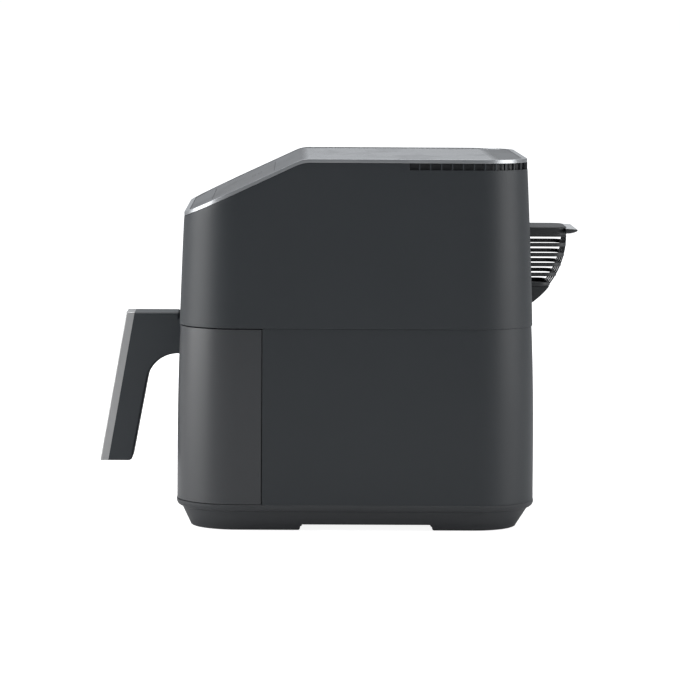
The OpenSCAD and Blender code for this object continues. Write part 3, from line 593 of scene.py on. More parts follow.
def rim_wear() -> Recipe:
    """Wear that bares another colour along convex edges, broken up by noise."""
    made = shader_group(
        "rim_wear",
        {"Colour": ("Color",), "Worn": ("Color",), "Reach": ("Float", 0.8 * MM), "Amount": ("Float", 0.5)},
        {"Colour": "Color", "Mask": "Float"},
    )
    bevel = made.out("ShaderNodeBevel", {"Radius": made.get("Reach")}, samples=4)
    normal = made.node("ShaderNodeNewGeometry").outputs["Normal"]
    level = made.node("ShaderNodeVectorMath", {0: bevel, 1: normal}, operation="DOT_PRODUCT").outputs["Value"]
    edge = made.out("ShaderNodeMapRange", {"Value": level, "From Min": 0.97, "From Max": 0.8})
    broken = made.math("MULTIPLY", edge, made.math("MULTIPLY", noise(made, 260.0, 4.0), made.get("Amount")))
    made.put("Mask", broken)
    mix = made.node("ShaderNodeMix", {0: broken, 6: made.get("Colour"), 7: made.get("Worn")},
                    data_type="RGBA")
    made.put("Colour", mix.outputs[2])
    return made


def satin_ends() -> Recipe:
    """Gloss that turns to satin on the slope and in a band along the back."""
    made = shader_group(
        "satin_ends",
        {"Roughness": ("Float", 0.1), "Satin": ("Float", 0.3), "Front": ("Float", -26 * MM),
         "Back": ("Float", 128 * MM), "Blend": ("Float", 6 * MM)},
        {"Roughness": "Float"},
    )
    depth = made.node("ShaderNodeSeparateXYZ", {0: made.get("Vector")}).outputs["Y"]
    front = made.math("DIVIDE", made.math("SUBTRACT", made.get("Front"), depth), made.get("Blend"))
    back = made.math("DIVIDE", made.math("SUBTRACT", depth, made.get("Back")), made.get("Blend"))
    share = made.out("ShaderNodeClamp", {"Value": made.math("MAXIMUM", front, back)})
    more = made.math("MULTIPLY", share, made.math("SUBTRACT", made.get("Satin"), made.get("Roughness")))
    made.put("Roughness", made.math("ADD", made.get("Roughness"), more))
    return made


class Shared:
    """The shading groups, each made once and used by many finishes."""

    made: dict[str, Recipe] = {}

    @classmethod
    def group(cls, maker: Callable[[], Recipe]) -> bpy.types.NodeTree:
        """The tree of a group, made at its first use."""
        if maker.__name__ not in cls.made:
            cls.made[maker.__name__] = maker()
        return cls.made[maker.__name__].tree


class Canvas(Net):
    """One material's nodes round its Principled shader."""

    def __init__(self, name: str, **plain: object) -> None:
        """Starts a material.

        Args:
            name: The material's name.
            plain: Values that are the same all over, by socket with _ for a space.
        """
        self.material = bpy.data.materials.new(name)
        self.material.use_nodes = True
        super().__init__(self.material.node_tree)
        self.shader = self.tree.nodes["Principled BSDF"]
        self.position = self.tree.nodes.new("ShaderNodeTexCoord").outputs["Object"]
        for socket, value in plain.items():
            self.shader.inputs[socket.replace("_", " ")].default_value = value

    def use(self, maker: Callable[[], Recipe], **values: object) -> bpy.types.Node:
        """Places a shared group.

        Args:
            maker: The function that makes it.
            values: Its inputs, as values or as sockets to link.

        Returns:
            The group's node.
        """
        node = self.node("ShaderNodeGroup", node_tree=Shared.group(maker))
        self.feed(node.inputs["Vector"], self.position)
        for name, value in values.items():
            plain_colour = name in ("Colour", "Worn") and isinstance(value, tuple)
            self.feed(node.inputs[name], (*value, 1.0) if plain_colour else value)
        return node

    def paint(self, socket: str, source: bpy.types.NodeSocket) -> None:
        """Links a socket of the shader."""
        self.feed(self.shader.inputs[socket], source)

    def emboss(self, height: bpy.types.NodeSocket, strength: float, distance: float = 0.05 * MM) -> None:
        """Feeds a height to the shader's normal."""
        bump = self.node("ShaderNodeBump", {"Strength": strength, "Distance": distance, "Height": height})
        self.paint("Normal", bump.outputs["Normal"])


@dataclass(frozen=True)
class Moulded:
    """Moulded plastic or rubber with its tool's grain."""

    name: str
    colour: Colour
    roughness: float = 0.42
    spread: float = 0.04
    grain: float = 1300.0
    depth: float = 0.25
    drift: float = 0.05
    specular: float = 0.5
    coat: float = 0.0
    coat_roughness: float = 0.1
    marks: float = 0.0

    def material(self) -> bpy.types.Material:
        """Builds the material."""
        canvas = Canvas(self.name, Specular_IOR_Level=self.specular, Coat_Weight=self.coat,
                        Coat_Roughness=self.coat_roughness)
        grain = canvas.use(moulded_grain, Colour=self.colour, Drift=self.drift, Roughness=self.roughness,
                           Spread=self.spread, Grain=self.grain)
        canvas.paint("Base Color", grain.outputs["Colour"])
        rough = grain.outputs["Roughness"]
        if self.marks:
            rough = canvas.use(handling_marks, Roughness=rough, Amount=self.marks).outputs["Roughness"]
        canvas.paint("Roughness", rough)
        canvas.emboss(grain.outputs["Height"], self.depth)
        return canvas.material


@dataclass(frozen=True)
class Metal:
    """Bare or plated metal with the lines of its brushing or rolling."""

    name: str
    colour: Colour
    roughness: float = 0.3
    spread: float = 0.06
    lines: Point = (40.0, 40.0, 1800.0)
    depth: float = 0.12
    drift: float = 0.08
    metallic: float = 1.0
    wear: float = 0.0
    marks: float = 0.05

    def material(self) -> bpy.types.Material:
        """Builds the material."""
        canvas = Canvas(self.name, Metallic=self.metallic)
        drawn = canvas.use(drawn_lines, Colour=self.colour, Drift=self.drift, Roughness=self.roughness,
                           Spread=self.spread, Lines=self.lines)
        colour = drawn.outputs["Colour"]
        if self.wear:
            worn = tuple(min(1.0, 1.35 * c) for c in self.colour)
            colour = canvas.use(rim_wear, Colour=colour, Worn=worn, Amount=self.wear).outputs["Colour"]
        canvas.paint("Base Color", colour)
        marks = canvas.use(handling_marks, Roughness=drawn.outputs["Roughness"], Amount=self.marks)
        canvas.paint("Roughness", marks.outputs["Roughness"])
        canvas.emboss(drawn.outputs["Height"], self.depth, 0.02 * MM)
        return canvas.material


@dataclass(frozen=True)
class Coated:
    """A non-stick coat over sheet metal, bared a little along its edges."""

    name: str
    colour: Colour
    bare: Colour
    roughness: float = 0.36
    wear: float = 0.5

    def material(self) -> bpy.types.Material:
        """Builds the material."""
        canvas = Canvas(self.name, Specular_IOR_Level=0.6)
        grain = canvas.use(moulded_grain, Colour=self.colour, Drift=0.12, Roughness=self.roughness,
                           Spread=0.1, Grain=700.0)
        worn = canvas.use(rim_wear, Colour=grain.outputs["Colour"], Worn=self.bare, Amount=self.wear)
        canvas.paint("Base Color", worn.outputs["Colour"])
        canvas.paint("Metallic", worn.outputs["Mask"])
        marks = canvas.use(handling_marks, Roughness=grain.outputs["Roughness"], Amount=0.12)
        canvas.paint("Roughness", marks.outputs["Roughness"])
        canvas.emboss(grain.outputs["Height"], 0.35, 0.06 * MM)
        return canvas.material


@dataclass(frozen=True)
class Glossy:
    """Polished panel plastic or glass, with faint wiped marks."""

    name: str
    colour: Colour
    roughness: float = 0.08
    marks: float = 0.06
    specular: float = 0.5
    satin: float = 0.0

    def material(self) -> bpy.types.Material:
        """Builds the material."""
        canvas = Canvas(self.name, Specular_IOR_Level=self.specular)
        grain = canvas.use(moulded_grain, Colour=self.colour, Drift=0.04, Roughness=self.roughness,
                           Spread=0.02, Grain=500.0)
        canvas.paint("Base Color", grain.outputs["Colour"])
        rough = grain.outputs["Roughness"]
        if self.satin:
            rough = canvas.use(satin_ends, Roughness=rough, Satin=self.satin).outputs["Roughness"]
        marks = canvas.use(handling_marks, Roughness=rough, Amount=self.marks)
        canvas.paint("Roughness", marks.outputs["Roughness"])
        canvas.emboss(grain.outputs["Height"], 0.03, 0.02 * MM)
        return canvas.material


EVEN_LINES: Point = (300.0, 300.0, 300.0)


class Finish(Enum):
    """Every finish on the air fryer, under the name of its slot in the record."""

    CASING = Moulded("casing", (0.021, 0.0245, 0.028), roughness=0.46, specular=0.44, marks=0.03)
    DRAWER = Moulded("drawer_front", (0.034, 0.036, 0.039), roughness=0.38, marks=0.03)
    PLINTH = Moulded("plinth", (0.032, 0.034, 0.037), roughness=0.46, specular=0.42)
    GRIP = Moulded("handle_grip", (0.028, 0.033, 0.038), roughness=0.44, grain=1000.0, depth=0.35)
    OUTLET = Moulded("outlet_black", (0.022, 0.024, 0.026), roughness=0.48)
    LIP = Moulded("outlet_black", (0.022, 0.024, 0.026), roughness=0.2, depth=0.05, coat=1.0)
    INNER = Moulded("inner_plastic", (0.020, 0.021, 0.023), roughness=0.5, grain=900.0, depth=0.3)
    SILICONE = Moulded("silicone", (0.060, 0.062, 0.066), roughness=0.55, grain=500.0)
    RUBBER = Moulded("foot_rubber", (0.012, 0.012, 0.013), roughness=0.7, grain=600.0, depth=0.4)
    CERAMIC = Moulded("ceramic_cream", (0.62, 0.58, 0.48), roughness=0.35, grain=400.0)
    MAT = Moulded("mineral_mat", (0.60, 0.57, 0.50), roughness=0.95, grain=260.0, depth=1.0, drift=0.15)
    PLUNGER = Moulded("plunger_red", (0.42, 0.05, 0.03), roughness=0.35)
    DISPLAY = Moulded("display_white", (0.62, 0.64, 0.66), roughness=0.4, grain=700.0)
    PRINT = Moulded("display_white", (0.13, 0.135, 0.14), roughness=0.3, grain=700.0)
    BOARD = Moulded("board_green", (0.012, 0.10, 0.035), roughness=0.3, grain=350.0, drift=0.25, coat=0.4)
    TRIM = Metal("silver_trim", (0.40, 0.41, 0.42), roughness=0.32)
    FACE = Metal("handle_face", (0.48, 0.48, 0.48), roughness=0.50, lines=(1600.0, 30.0, 30.0))
    SHEET = Metal("sheet_steel", (0.48, 0.49, 0.50), roughness=0.34, wear=0.4, lines=(40.0, 1500.0, 40.0))
    BRIGHT = Metal("bright_steel", (0.60, 0.61, 0.62), roughness=0.22, lines=(400.0, 400.0, 1500.0))
    ELEMENT = Metal("element_metal", (0.23, 0.18, 0.15), roughness=0.42, drift=0.3, lines=EVEN_LINES)
    COPPER = Metal("copper_winding", (0.62, 0.26, 0.10), roughness=0.28, lines=EVEN_LINES)
    BRONZE = Metal("bearing_bronze", (0.47, 0.33, 0.14), roughness=0.3)
    PAN = Coated("pan_coating", (0.020, 0.021, 0.022), (0.35, 0.35, 0.36))
    TOP = Glossy("top_face", (0.022, 0.024, 0.028), roughness=0.13, satin=0.30)
    GLASS = Glossy("control_glass", (0.010, 0.010, 0.012), roughness=0.30)


class Workshop:
    """Hands out materials and sends finished pieces to their bodies."""

    def __init__(self, nodes: dict[str, bpy.types.Object]) -> None:
        """Takes the frame's nodes, as objects by name."""
        self.nodes = nodes
        self.materials: dict[Finish, bpy.types.Material] = {}

    def material(self, finish: Finish) -> bpy.types.Material:
        """The material of a finish, built at its first use."""
        if finish not in self.materials:
            self.materials[finish] = finish.value.material()
        return self.materials[finish]

    def place(self, piece: bpy.types.Object, body: Body, finish: Finish, *replaced: str) -> bpy.types.Object:
        """Dresses a piece and fixes it to its body.

        Args:
            piece: The finished mesh.
            body: What it moves with.
            finish: What it is made of.
            replaced: The frame's nodes that it stands for.

        Returns:
            The piece.
        """
        piece.data.materials.clear()
        piece.data.materials.append(self.material(finish))
        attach(piece, body.value)
        if replaced:
            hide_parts(*replaced)
        LOG.info("%s: %d faces on %s", piece.name, len(piece.data.polygons), body.value)
        return piece

    def dress_frame(self) -> None:
        """Gives every node of the frame that still shows the finish that its slot names."""
        by_name = {finish.value.name: finish for finish in reversed(Finish)}
        for name, node in sorted(self.nodes.items()):
            if node.hide_render:
                continue
            for slot in node.material_slots:
                finish = by_name[slot.material.name.split(".")[0]]
                slot.material = self.material(finish)
            LOG.info("%s keeps its shape", name)


# ---- geometry recipes ----------------------------------------------------------------


def dressed_end(made: Recipe, geometry: bpy.types.NodeSocket, smooth: bool = True) -> None:
    """Ends a geometry recipe: real geometry, smooth shading and its material."""
    real = made.out("GeometryNodeRealizeInstances", {0: geometry})
    shaded = made.out("GeometryNodeSetShadeSmooth", {"Geometry": real, "Shade Smooth": smooth})
    last = made.out("GeometryNodeSetMaterial", {"Geometry": shaded, "Material": made.get("Material")})
    made.put("Geometry", last)


def geometry_recipe(name: str, **inputs: tuple) -> Recipe:
    """Starts a geometry recipe that takes a mesh, a material and what else is named."""
    made = Recipe(name)
    made.takes(Geometry=("Geometry",), Material=("Material",), **inputs)
    made.gives(Geometry="Geometry")
    return made


def bars_on_path() -> Recipe:
    """Upright bars, evenly spaced along the path that goes in."""
    made = geometry_recipe("bars_on_path", Count=("Int", 10), Size=("Vector", (0.001, 0.002, 0.005)))
    curve = made.out("GeometryNodeMeshToCurve", {"Mesh": made.get("Geometry")})
    spaced = made.out("GeometryNodeResampleCurve", {"Curve": curve, "Count": made.get("Count")}, mode="COUNT")
    tangent = made.out("GeometryNodeInputTangent")
    aim = made.out("FunctionNodeAlignRotationToVector", {"Vector": tangent}, axis="X", pivot_axis="Z")
    bar = made.out("GeometryNodeMeshCube", {"Size": made.get("Size")})
    stood = made.out("GeometryNodeInstanceOnPoints", {
        "Points": spaced, "Instance": bar, "Rotation": aim})
    dressed_end(made, stood, smooth=False)
    return made


def flat_bar_sweep() -> Recipe:
    """A flat bar with eased corners, drawn along each path that goes in and kept upright."""
    made = geometry_recipe("flat_bar_sweep", Thickness=("Float", 0.002), Height=("Float", 0.003),
                           Ease=("Float", 0.0004))
    curve = made.out("GeometryNodeMeshToCurve", {"Mesh": made.get("Geometry")})
    upright = made.out("GeometryNodeSetCurveNormal", {0: curve}, mode="Z_UP")
    profile = made.out("GeometryNodeCurvePrimitiveQuadrilateral", {
        "Width": made.get("Thickness"), "Height": made.get("Height")})
    eased = made.out("GeometryNodeFilletCurve", {"Curve": profile, "Radius": made.get("Ease"), "Count": 2},
                     mode="POLY")
    swept = made.out("GeometryNodeCurveToMesh", {"Curve": upright, "Profile Curve": eased, "Fill Caps": True})
    dressed_end(made, swept, smooth=False)
    return made


def round_bar_sweep() -> Recipe:
    """A round bar drawn along each path that goes in."""
    made = geometry_recipe("round_bar_sweep", Radius=("Float", 0.003), Sides=("Int", 12))
    curve = made.out("GeometryNodeMeshToCurve", {"Mesh": made.get("Geometry")})
    ring = made.out("GeometryNodeCurvePrimitiveCircle", {
        "Resolution": made.get("Sides"), "Radius": made.get("Radius")})
    swept = made.out("GeometryNodeCurveToMesh", {"Curve": curve, "Profile Curve": ring, "Fill Caps": True})
    dressed_end(made, swept)
    return made


def round_holes() -> Recipe:
    """Round holes through the sheet that goes in, at staggered places round a middle."""
    made = geometry_recipe("round_holes", Radius=("Float", 0.0035), Pitch=("Float", 0.011),
                           Columns=("Int", 8), Rows=("Int", 8), Middle=("Vector",))
    pitch = made.get("Pitch")
    parts = []
    for shift in (0.0, 0.5):
        wide = made.math("MULTIPLY", made.math("SUBTRACT", made.get("Columns"), 1.0 + 2 * shift), pitch)
        deep = made.math("MULTIPLY", made.math("SUBTRACT", made.get("Rows"), 1.0 + 2 * shift), pitch)
        grid = made.out("GeometryNodeMeshGrid", {
            "Size X": wide, "Size Y": deep,
            "Vertices X": made.math("SUBTRACT", made.get("Columns"), 2 * shift),
            "Vertices Y": made.math("SUBTRACT", made.get("Rows"), 2 * shift)})
        parts.append(grid)
    both = made.out("GeometryNodeJoinGeometry", {0: parts})
    moved = made.out("GeometryNodeTransform", {"Geometry": both, "Translation": made.get("Middle")})
    drill = made.out("GeometryNodeMeshCylinder", {
        "Vertices": 20, "Radius": made.get("Radius"), "Depth": 20 * MM})
    drills = made.out("GeometryNodeInstanceOnPoints", {"Points": moved, "Instance": drill})
    solid = made.out("GeometryNodeRealizeInstances", {0: drills})
    cut = made.out("GeometryNodeMeshBoolean", {"Mesh 1": made.get("Geometry"), "Mesh 2": solid},
                   operation="DIFFERENCE", solver="EXACT")
    dressed_end(made, cut, smooth=False)
    return made


def bladed_wheel() -> Recipe:
    """A fan wheel: a disc, a hub and slanted blades, round an upright line through Middle."""
    made = geometry_recipe(
        "bladed_wheel", Blades=("Int", 10), Radius=("Float", 0.07), Hub=("Float", 0.009),
        Blade_height=("Float", 0.015), Blade_slant=("Float", 0.42), Disc_z=("Float", 0.015),
        Sheet=("Float", 0.0012), Middle=("Vector",), Bore=("Float", 0.003))
    radius, tall, sheet = made.get("Radius"), made.get("Blade_height"), made.get("Sheet")
    disc = made.out("GeometryNodeMeshCylinder", {"Vertices": 96, "Radius": radius, "Depth": sheet})
    half_sheet = made.math("MULTIPLY", sheet, 0.5)
    disc = made.out("GeometryNodeTransform", {
        "Geometry": disc,
        "Translation": made.vector(z=made.math("ADD", made.get("Disc_z"), half_sheet))})
    hub = made.out("GeometryNodeMeshCylinder", {
        "Vertices": 48, "Radius": made.get("Hub"), "Depth": tall})
    half_tall = made.math("MULTIPLY", tall, 0.5)
    hub = made.out("GeometryNodeTransform", {
        "Geometry": hub, "Translation": made.vector(z=half_tall)})
    blade_l = made.math("MULTIPLY", radius, 0.6)
    blade = made.out("GeometryNodeMeshCube", {
        "Size": made.vector(blade_l, sheet, made.math("MULTIPLY", tall, 0.96)),
        "Vertices X": 10})
    along = made.out("ShaderNodeSeparateXYZ", {0: made.out("GeometryNodeInputPosition")})
    share = made.math("DIVIDE", along, blade_l)
    bow = made.math("MULTIPLY", made.math("MULTIPLY", share, share), made.math("MULTIPLY", radius, 0.22))
    bowed = made.out("GeometryNodeSetPosition", {"Geometry": blade, "Offset": made.vector(y=bow)})
    turned = made.out("GeometryNodeTransform", {
        "Geometry": bowed, "Rotation": made.vector(z=made.get("Blade_slant"))})
    ring = made.out("GeometryNodeMeshCircle", {
        "Vertices": made.get("Blades"), "Radius": made.math("MULTIPLY", radius, 0.63)})
    ring = made.out("GeometryNodeTransform", {
        "Geometry": ring, "Translation": made.vector(z=half_tall)})
    index = made.out("GeometryNodeInputIndex")
    step = made.math("DIVIDE", 2 * math.pi, made.get("Blades"))
    spread = made.out("GeometryNodeInstanceOnPoints", {
        "Points": ring, "Instance": turned, "Rotation": made.vector(z=made.math("MULTIPLY", index, step))})
    bore = made.out("GeometryNodeMeshCylinder", {
        "Vertices": 32, "Radius": made.get("Bore"), "Depth": 0.08})
    core = made.out("GeometryNodeMeshBoolean", {"Mesh 2": [disc, hub]}, operation="UNION", solver="EXACT")
    bored = made.out("GeometryNodeMeshBoolean", {"Mesh 1": core, "Mesh 2": bore},
                     operation="DIFFERENCE", solver="EXACT")
    whole = made.out("GeometryNodeJoinGeometry", {0: [bored, spread]})
    placed = made.out("GeometryNodeTransform", {"Geometry": whole, "Translation": made.get("Middle")})
    dressed_end(made, placed, smooth=False)
    return made


def cross_head_screws() -> Recipe:
    """A screw with a crossed recess at each point that goes in, its head towards the point's normal."""
    made = geometry_recipe("cross_head_screws", Radius=("Float", 0.0018), Length=("Float", 0.012),
                           Aim=("Vector", (0.0, 0.0, 1.0)))
    radius = made.get("Radius")
    head_r = made.math("MULTIPLY", radius, 1.9)
    head_h = made.math("MULTIPLY", radius, 1.1)
    head = made.out("GeometryNodeMeshCone", {
        "Vertices": 24, "Side Segments": 1, "Radius Top": made.math("MULTIPLY", radius, 1.45),
        "Radius Bottom": head_r, "Depth": head_h})
    slot_size = made.math("MULTIPLY", radius, 0.42)
    slot_l = made.math("MULTIPLY", radius, 1.9)
    slots = []
    for size in ((slot_l, slot_size), (slot_size, slot_l)):
        cube = made.out("GeometryNodeMeshCube", {"Size": made.vector(size[0], size[1], head_h)})
        slots.append(made.out("GeometryNodeTransform", {
            "Geometry": cube, "Translation": made.vector(z=made.math("MULTIPLY", head_h, 1.25))}))
    driven = made.out("GeometryNodeMeshBoolean", {"Mesh 1": head, "Mesh 2": slots},
                      operation="DIFFERENCE", solver="EXACT")
    length = made.get("Length")
    shank = made.out("GeometryNodeMeshCylinder", {"Vertices": 16, "Radius": radius, "Depth": length})
    shank = made.out("GeometryNodeTransform", {
        "Geometry": shank, "Translation": made.vector(z=made.math("MULTIPLY", length, -0.5))})
    screw = made.out("GeometryNodeJoinGeometry", {0: [driven, shank]})
    aim = made.out("FunctionNodeAlignRotationToVector", {"Vector": made.get("Aim")}, axis="Z")
    set_in = made.out("GeometryNodeInstanceOnPoints", {
        "Points": made.get("Geometry"), "Instance": screw, "Rotation": aim})
    dressed_end(made, set_in, smooth=False)
    return made


def wire_rings() -> Recipe:
    """Concentric wire rings about a middle, evenly spaced out to Reach."""
    made = geometry_recipe("wire_rings", Rings=("Int", 6), Reach=("Float", 0.1), Wire=("Float", 0.001),
                           Middle=("Vector",))
    line = made.out("GeometryNodeMeshLine", {"Count": made.get("Rings"), "Offset": (0.0, 0.0, 0.0)})
    count = made.math("ADD", made.out("GeometryNodeInputIndex"), 1.0)
    size = made.math("MULTIPLY", made.math("DIVIDE", count, made.get("Rings")), made.get("Reach"))
    unit = made.out("GeometryNodeCurvePrimitiveCircle", {"Resolution": 72, "Radius": 1.0})
    spread = made.out("GeometryNodeInstanceOnPoints", {
        "Points": line, "Instance": unit, "Scale": made.vector(size, size, size)})
    real = made.out("GeometryNodeRealizeInstances", {0: spread})
    placed = made.out("GeometryNodeTransform", {"Geometry": real, "Translation": made.get("Middle")})
    profile = made.out("GeometryNodeCurvePrimitiveCircle", {"Resolution": 8, "Radius": made.get("Wire")})
    swept = made.out("GeometryNodeCurveToMesh", {"Curve": placed, "Profile Curve": profile})
    dressed_end(made, swept)
    return made


def path_piece(name: str, paths: Sequence[Sequence[Point]], closed: bool = False) -> bpy.types.Object:
    """Makes a piece of bare edges, one run for each path."""
    points, edges = [], []
    for path in paths:
        first = len(points)
        points += path
        edges += [(first + i, first + i + 1) for i in range(len(path) - 1)]
        if closed:
            edges.append((len(points) - 1, first))
    return mesh_piece(name, points, (), edges)


# ---- casing --------------------------------------------------------------------------


@dataclass(frozen=True)
class TopLine:
    """The top in profile: level at the back, falling to the front past a rounded break."""

    high_z: float
    break_y: float
    angle: float = math.radians(25)
    blend_r: float = 28 * MM

    @property
    def blend_y(self) -> float:
        """Where the level part ends."""
        return self.break_y + self.blend_r * math.tan(self.angle / 2)

    @property
    def breaks(self) -> tuple[float, ...]:
        """Depths that a smooth surface needs across the rounded break."""
        steps = 6
        return tuple(self.blend_y - self.blend_r * math.sin(self.angle * i / steps) for i in range(steps + 1))

    def height(self, y: float, drop: float = 0.0) -> float:
        """The line's height at a depth, lowered by drop."""
        top = self.high_z - drop
        back = self.blend_y - y
        if back <= 0:
            return top
        if back >= self.blend_r * math.sin(self.angle):
            return top - (self.break_y - y) * math.tan(self.angle)
        return top - self.blend_r + math.sqrt(self.blend_r**2 - back**2)


@dataclass
class Casing:
    """The tapered two-part shell, its vents and the silver trim round the top."""

    shop: Workshop
    corner_r: float = 50 * MM
    draft: float = 6 * MM
    bow: float = 0.25
    flare: float = 2.6 * MM
    flare_r_more: float = 1.8 * MM
    wall: float = 2.5 * MM
    trim_h: float = 3.2 * MM
    trim_chamfer: float = 0.25 * MM
    trim_w: float = 4.5 * MM
    gap: float = 0.15 * MM
    notch_h: float = 5.5 * MM
    notch_from: float = 43 * MM
    divider_t: float = 1.1 * MM
    divider_pitch: float = 9.1 * MM
    slope_break: float = 46 * MM
    baffle_back: float = 2.0 * MM
    baffle_over: float = 1.5 * MM
    baffle_under: float = 0.4 * MM
    baffle_t: float = 0.8 * MM
    flange: float = 11 * MM
    gland_hole_r: float = 8.1 * MM

    def __post_init__(self) -> None:
        """Reads the casing's place from the frame."""
        low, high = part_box("upper_housing")
        self.seam_z = low.z
        self.half_x = high.x
        self.half_y = (high.y - low.y) / 2
        self.middle_y = (high.y + low.y) / 2
        self.top = TopLine(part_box("top_trim")[1].z, self.middle_y - self.slope_break)
        self.vent_y = self.middle_y + self.notch_from
        self.span = self.top.high_z - self.seam_z
        lower_low, lower_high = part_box("lower_housing")
        self.base_z = lower_low.z
        self.lower_half_x = lower_high.x
        self.lower_half_y = lower_high.y - self.middle_y
        self.split_y = lower_low.y
        self.cover_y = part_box("drawer_cover")[1].y

    def inset(self, z: float) -> float:
        """How far the upper shell has drawn in at a height."""
        share = (z - self.seam_z) / self.span
        return self.draft * ((1 - self.bow) * share + self.bow * share**2)

    def top_point(self, station: Station, inward: float, drop: float) -> Point:
        """The point under the top line that lies inward of the outer skin at a station."""
        z = self.top.high_z - drop
        for _ in range(6):
            point = station.at(self.inset(z + drop) + inward, z)
            z = self.top.height(point[1], drop)
        return (point[0], point[1], z)

    def outline(self) -> Outline:
        """The upper shell's outline at the seam."""
        return Outline(self.half_x, self.half_y, self.corner_r, self.middle_y,
                       breaks=(self.vent_y, *self.top.breaks))

    def upper_columns(self, stations: Sequence[Station], drop: float) -> list[list[Point]]:
        """Columns of the upper shell from the seam to the trim, their last row as tall as a vent."""
        rows = 22
        columns = []
        for station in stations:
            top = self.top_point(station, 0.0, drop)
            low = top[2] - self.notch_h
            heights = [self.seam_z + (low - self.seam_z) * i / rows for i in range(rows + 1)]
            columns.append([*(station.at(self.inset(z), z) for z in heights), top])
        return columns

    def lower_inset(self, z: float) -> float:
        """How far the lower shell has drawn in at a height."""
        share = (z - self.base_z) / (self.seam_z - self.base_z)
        return self.flare * max(0.0, share) ** 3

    def lower_outline(self) -> Outline:
        """The lower shell's outline at its foot."""
        return Outline(self.lower_half_x, self.lower_half_y, self.corner_r + self.flare_r_more, self.middle_y,
                       breaks=(self.cover_y, self.split_y))

    def lower_columns(self, stations: Sequence[Station], low_z: float, high_z: float) -> list[list[Point]]:
        """Columns of the lower shell between two heights."""
        rows = 20
        heights = [low_z + (high_z - low_z) * i / rows for i in range(rows + 1)]
        return [[station.at(self.lower_inset(z), z) for z in heights] for station in stations]

    def build_upper(self) -> None:
        """The upper shell, open behind its vents, and the vents' dividers."""
        stations = self.outline().all_round()
        drop = self.trim_h + self.gap
        columns = self.upper_columns(stations, drop)
        last = len(columns[0]) - 2
        count = len(stations)

        def vent(column: int, row: int) -> bool:
            """Whether a face lies where the vents are."""
            ends = (stations[column].y, stations[(column + 1) % count].y)
            return row == last and min(ends) > self.vent_y - 0.01 * MM

        shell = strip("upper_housing_shell", columns, closed=True, skip=vent)
        trim_up(shell, wall=self.wall, edge=0.5 * MM, steps=2)
        self.shop.place(shell, Body.APPLIANCE, Finish.CASING, "upper_housing")
        self.build_dividers(stations, drop)
        self.build_baffle(drop)

    def build_dividers(self, stations: Sequence[Station], drop: float) -> None:
        """The thin dividers between the vents, spaced along the shell's outline."""
        z = self.top.high_z - drop - self.notch_h / 2
        start = self.vent_y + self.divider_pitch - self.divider_t / 2
        path = [s.at(self.inset(z) + self.wall / 2, z) for s in stations if s.y > start]
        first = (path[0][0], start, z)
        path = [first, *path, (-first[0], start, z)]
        length = sum(math.dist(a, b) for a, b in zip(path, path[1:]))
        bars = path_piece("vent_dividers", [path])
        cook(bars, bars_on_path(), self.shop.material(Finish.CASING),
             Count=round(length / self.divider_pitch) + 1,
             Size=(self.divider_t, self.wall * 0.96, self.notch_h + 2 * self.gap))
        self.shop.place(bars, Body.APPLIANCE, Finish.CASING)

    def build_baffle(self, drop: float) -> None:
        """The dark baffle that stands a little behind the vents."""
        z = self.top.high_z - drop
        half = [s for s in self.outline().right_half() if s.y > self.vent_y - 4 * MM]
        way = half + [s.mirrored() for s in reversed(half[:-1])]
        depth = self.wall + self.baffle_back
        heights = (z - self.notch_h - self.baffle_over, z - self.baffle_under)
        columns = [[s.at(self.inset(h) + depth, h) for h in heights] for s in way]
        baffle = strip("vent_baffle", columns, closed=False)
        trim_up(baffle, wall=self.baffle_t)
        self.shop.place(baffle, Body.APPLIANCE, Finish.INNER)

    def build_lower(self) -> None:
        """The lower shell behind the drawer, with the flanges that its front edges turn in."""
        half = [s for s in self.lower_outline().right_half() if s.y >= self.split_y - TINY]
        stations = half + [s.mirrored() for s in reversed(half[:-1])]
        columns = self.lower_columns(stations, self.base_z, self.seam_z)
        first, last = [
            [(math.copysign(abs(x) - self.flange, x), y, z) for x, y, z in column]
            for column in (columns[0], columns[-1])
        ]
        shell = strip("lower_housing_shell", [first, *columns, last], closed=False)
        trim_up(shell, wall=self.wall, edge=0.3 * MM, steps=3)
        hole_low, hole_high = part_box("cord_gland")
        middle = ((hole_low.x + hole_high.x) / 2, (hole_low.z + hole_high.z) / 2)
        plug = prism("gland_hole", arc(middle, self.gland_hole_r, 0, 345, 23), 12 * MM,
                     lambda a, b, side: (a, hole_high.y + side, b))
        cut_away(shell, [plug])
        self.shop.place(shell, Body.APPLIANCE, Finish.CASING, "lower_housing")

    def build_trim(self) -> None:
        """The silver frame round the top."""
        columns = []
        for station in self.outline().all_round():
            low = self.top_point(station, 0.0, self.trim_h)
            side = self.top_point(station, 0.0, self.trim_chamfer)
            top = self.top_point(station, self.trim_chamfer, 0.0)
            inner = self.top_point(station, self.trim_w, 0.0)
            deep = self.top_point(station, self.trim_w, self.trim_h)
            columns.append([low, side, top, inner, deep])
        frame = loop_strip("top_trim_frame", columns)
        trim_up(frame, edge=0.1 * MM, steps=1, edge_angle=20)
        self.shop.place(frame, Body.APPLIANCE, Finish.TRIM, "top_trim")


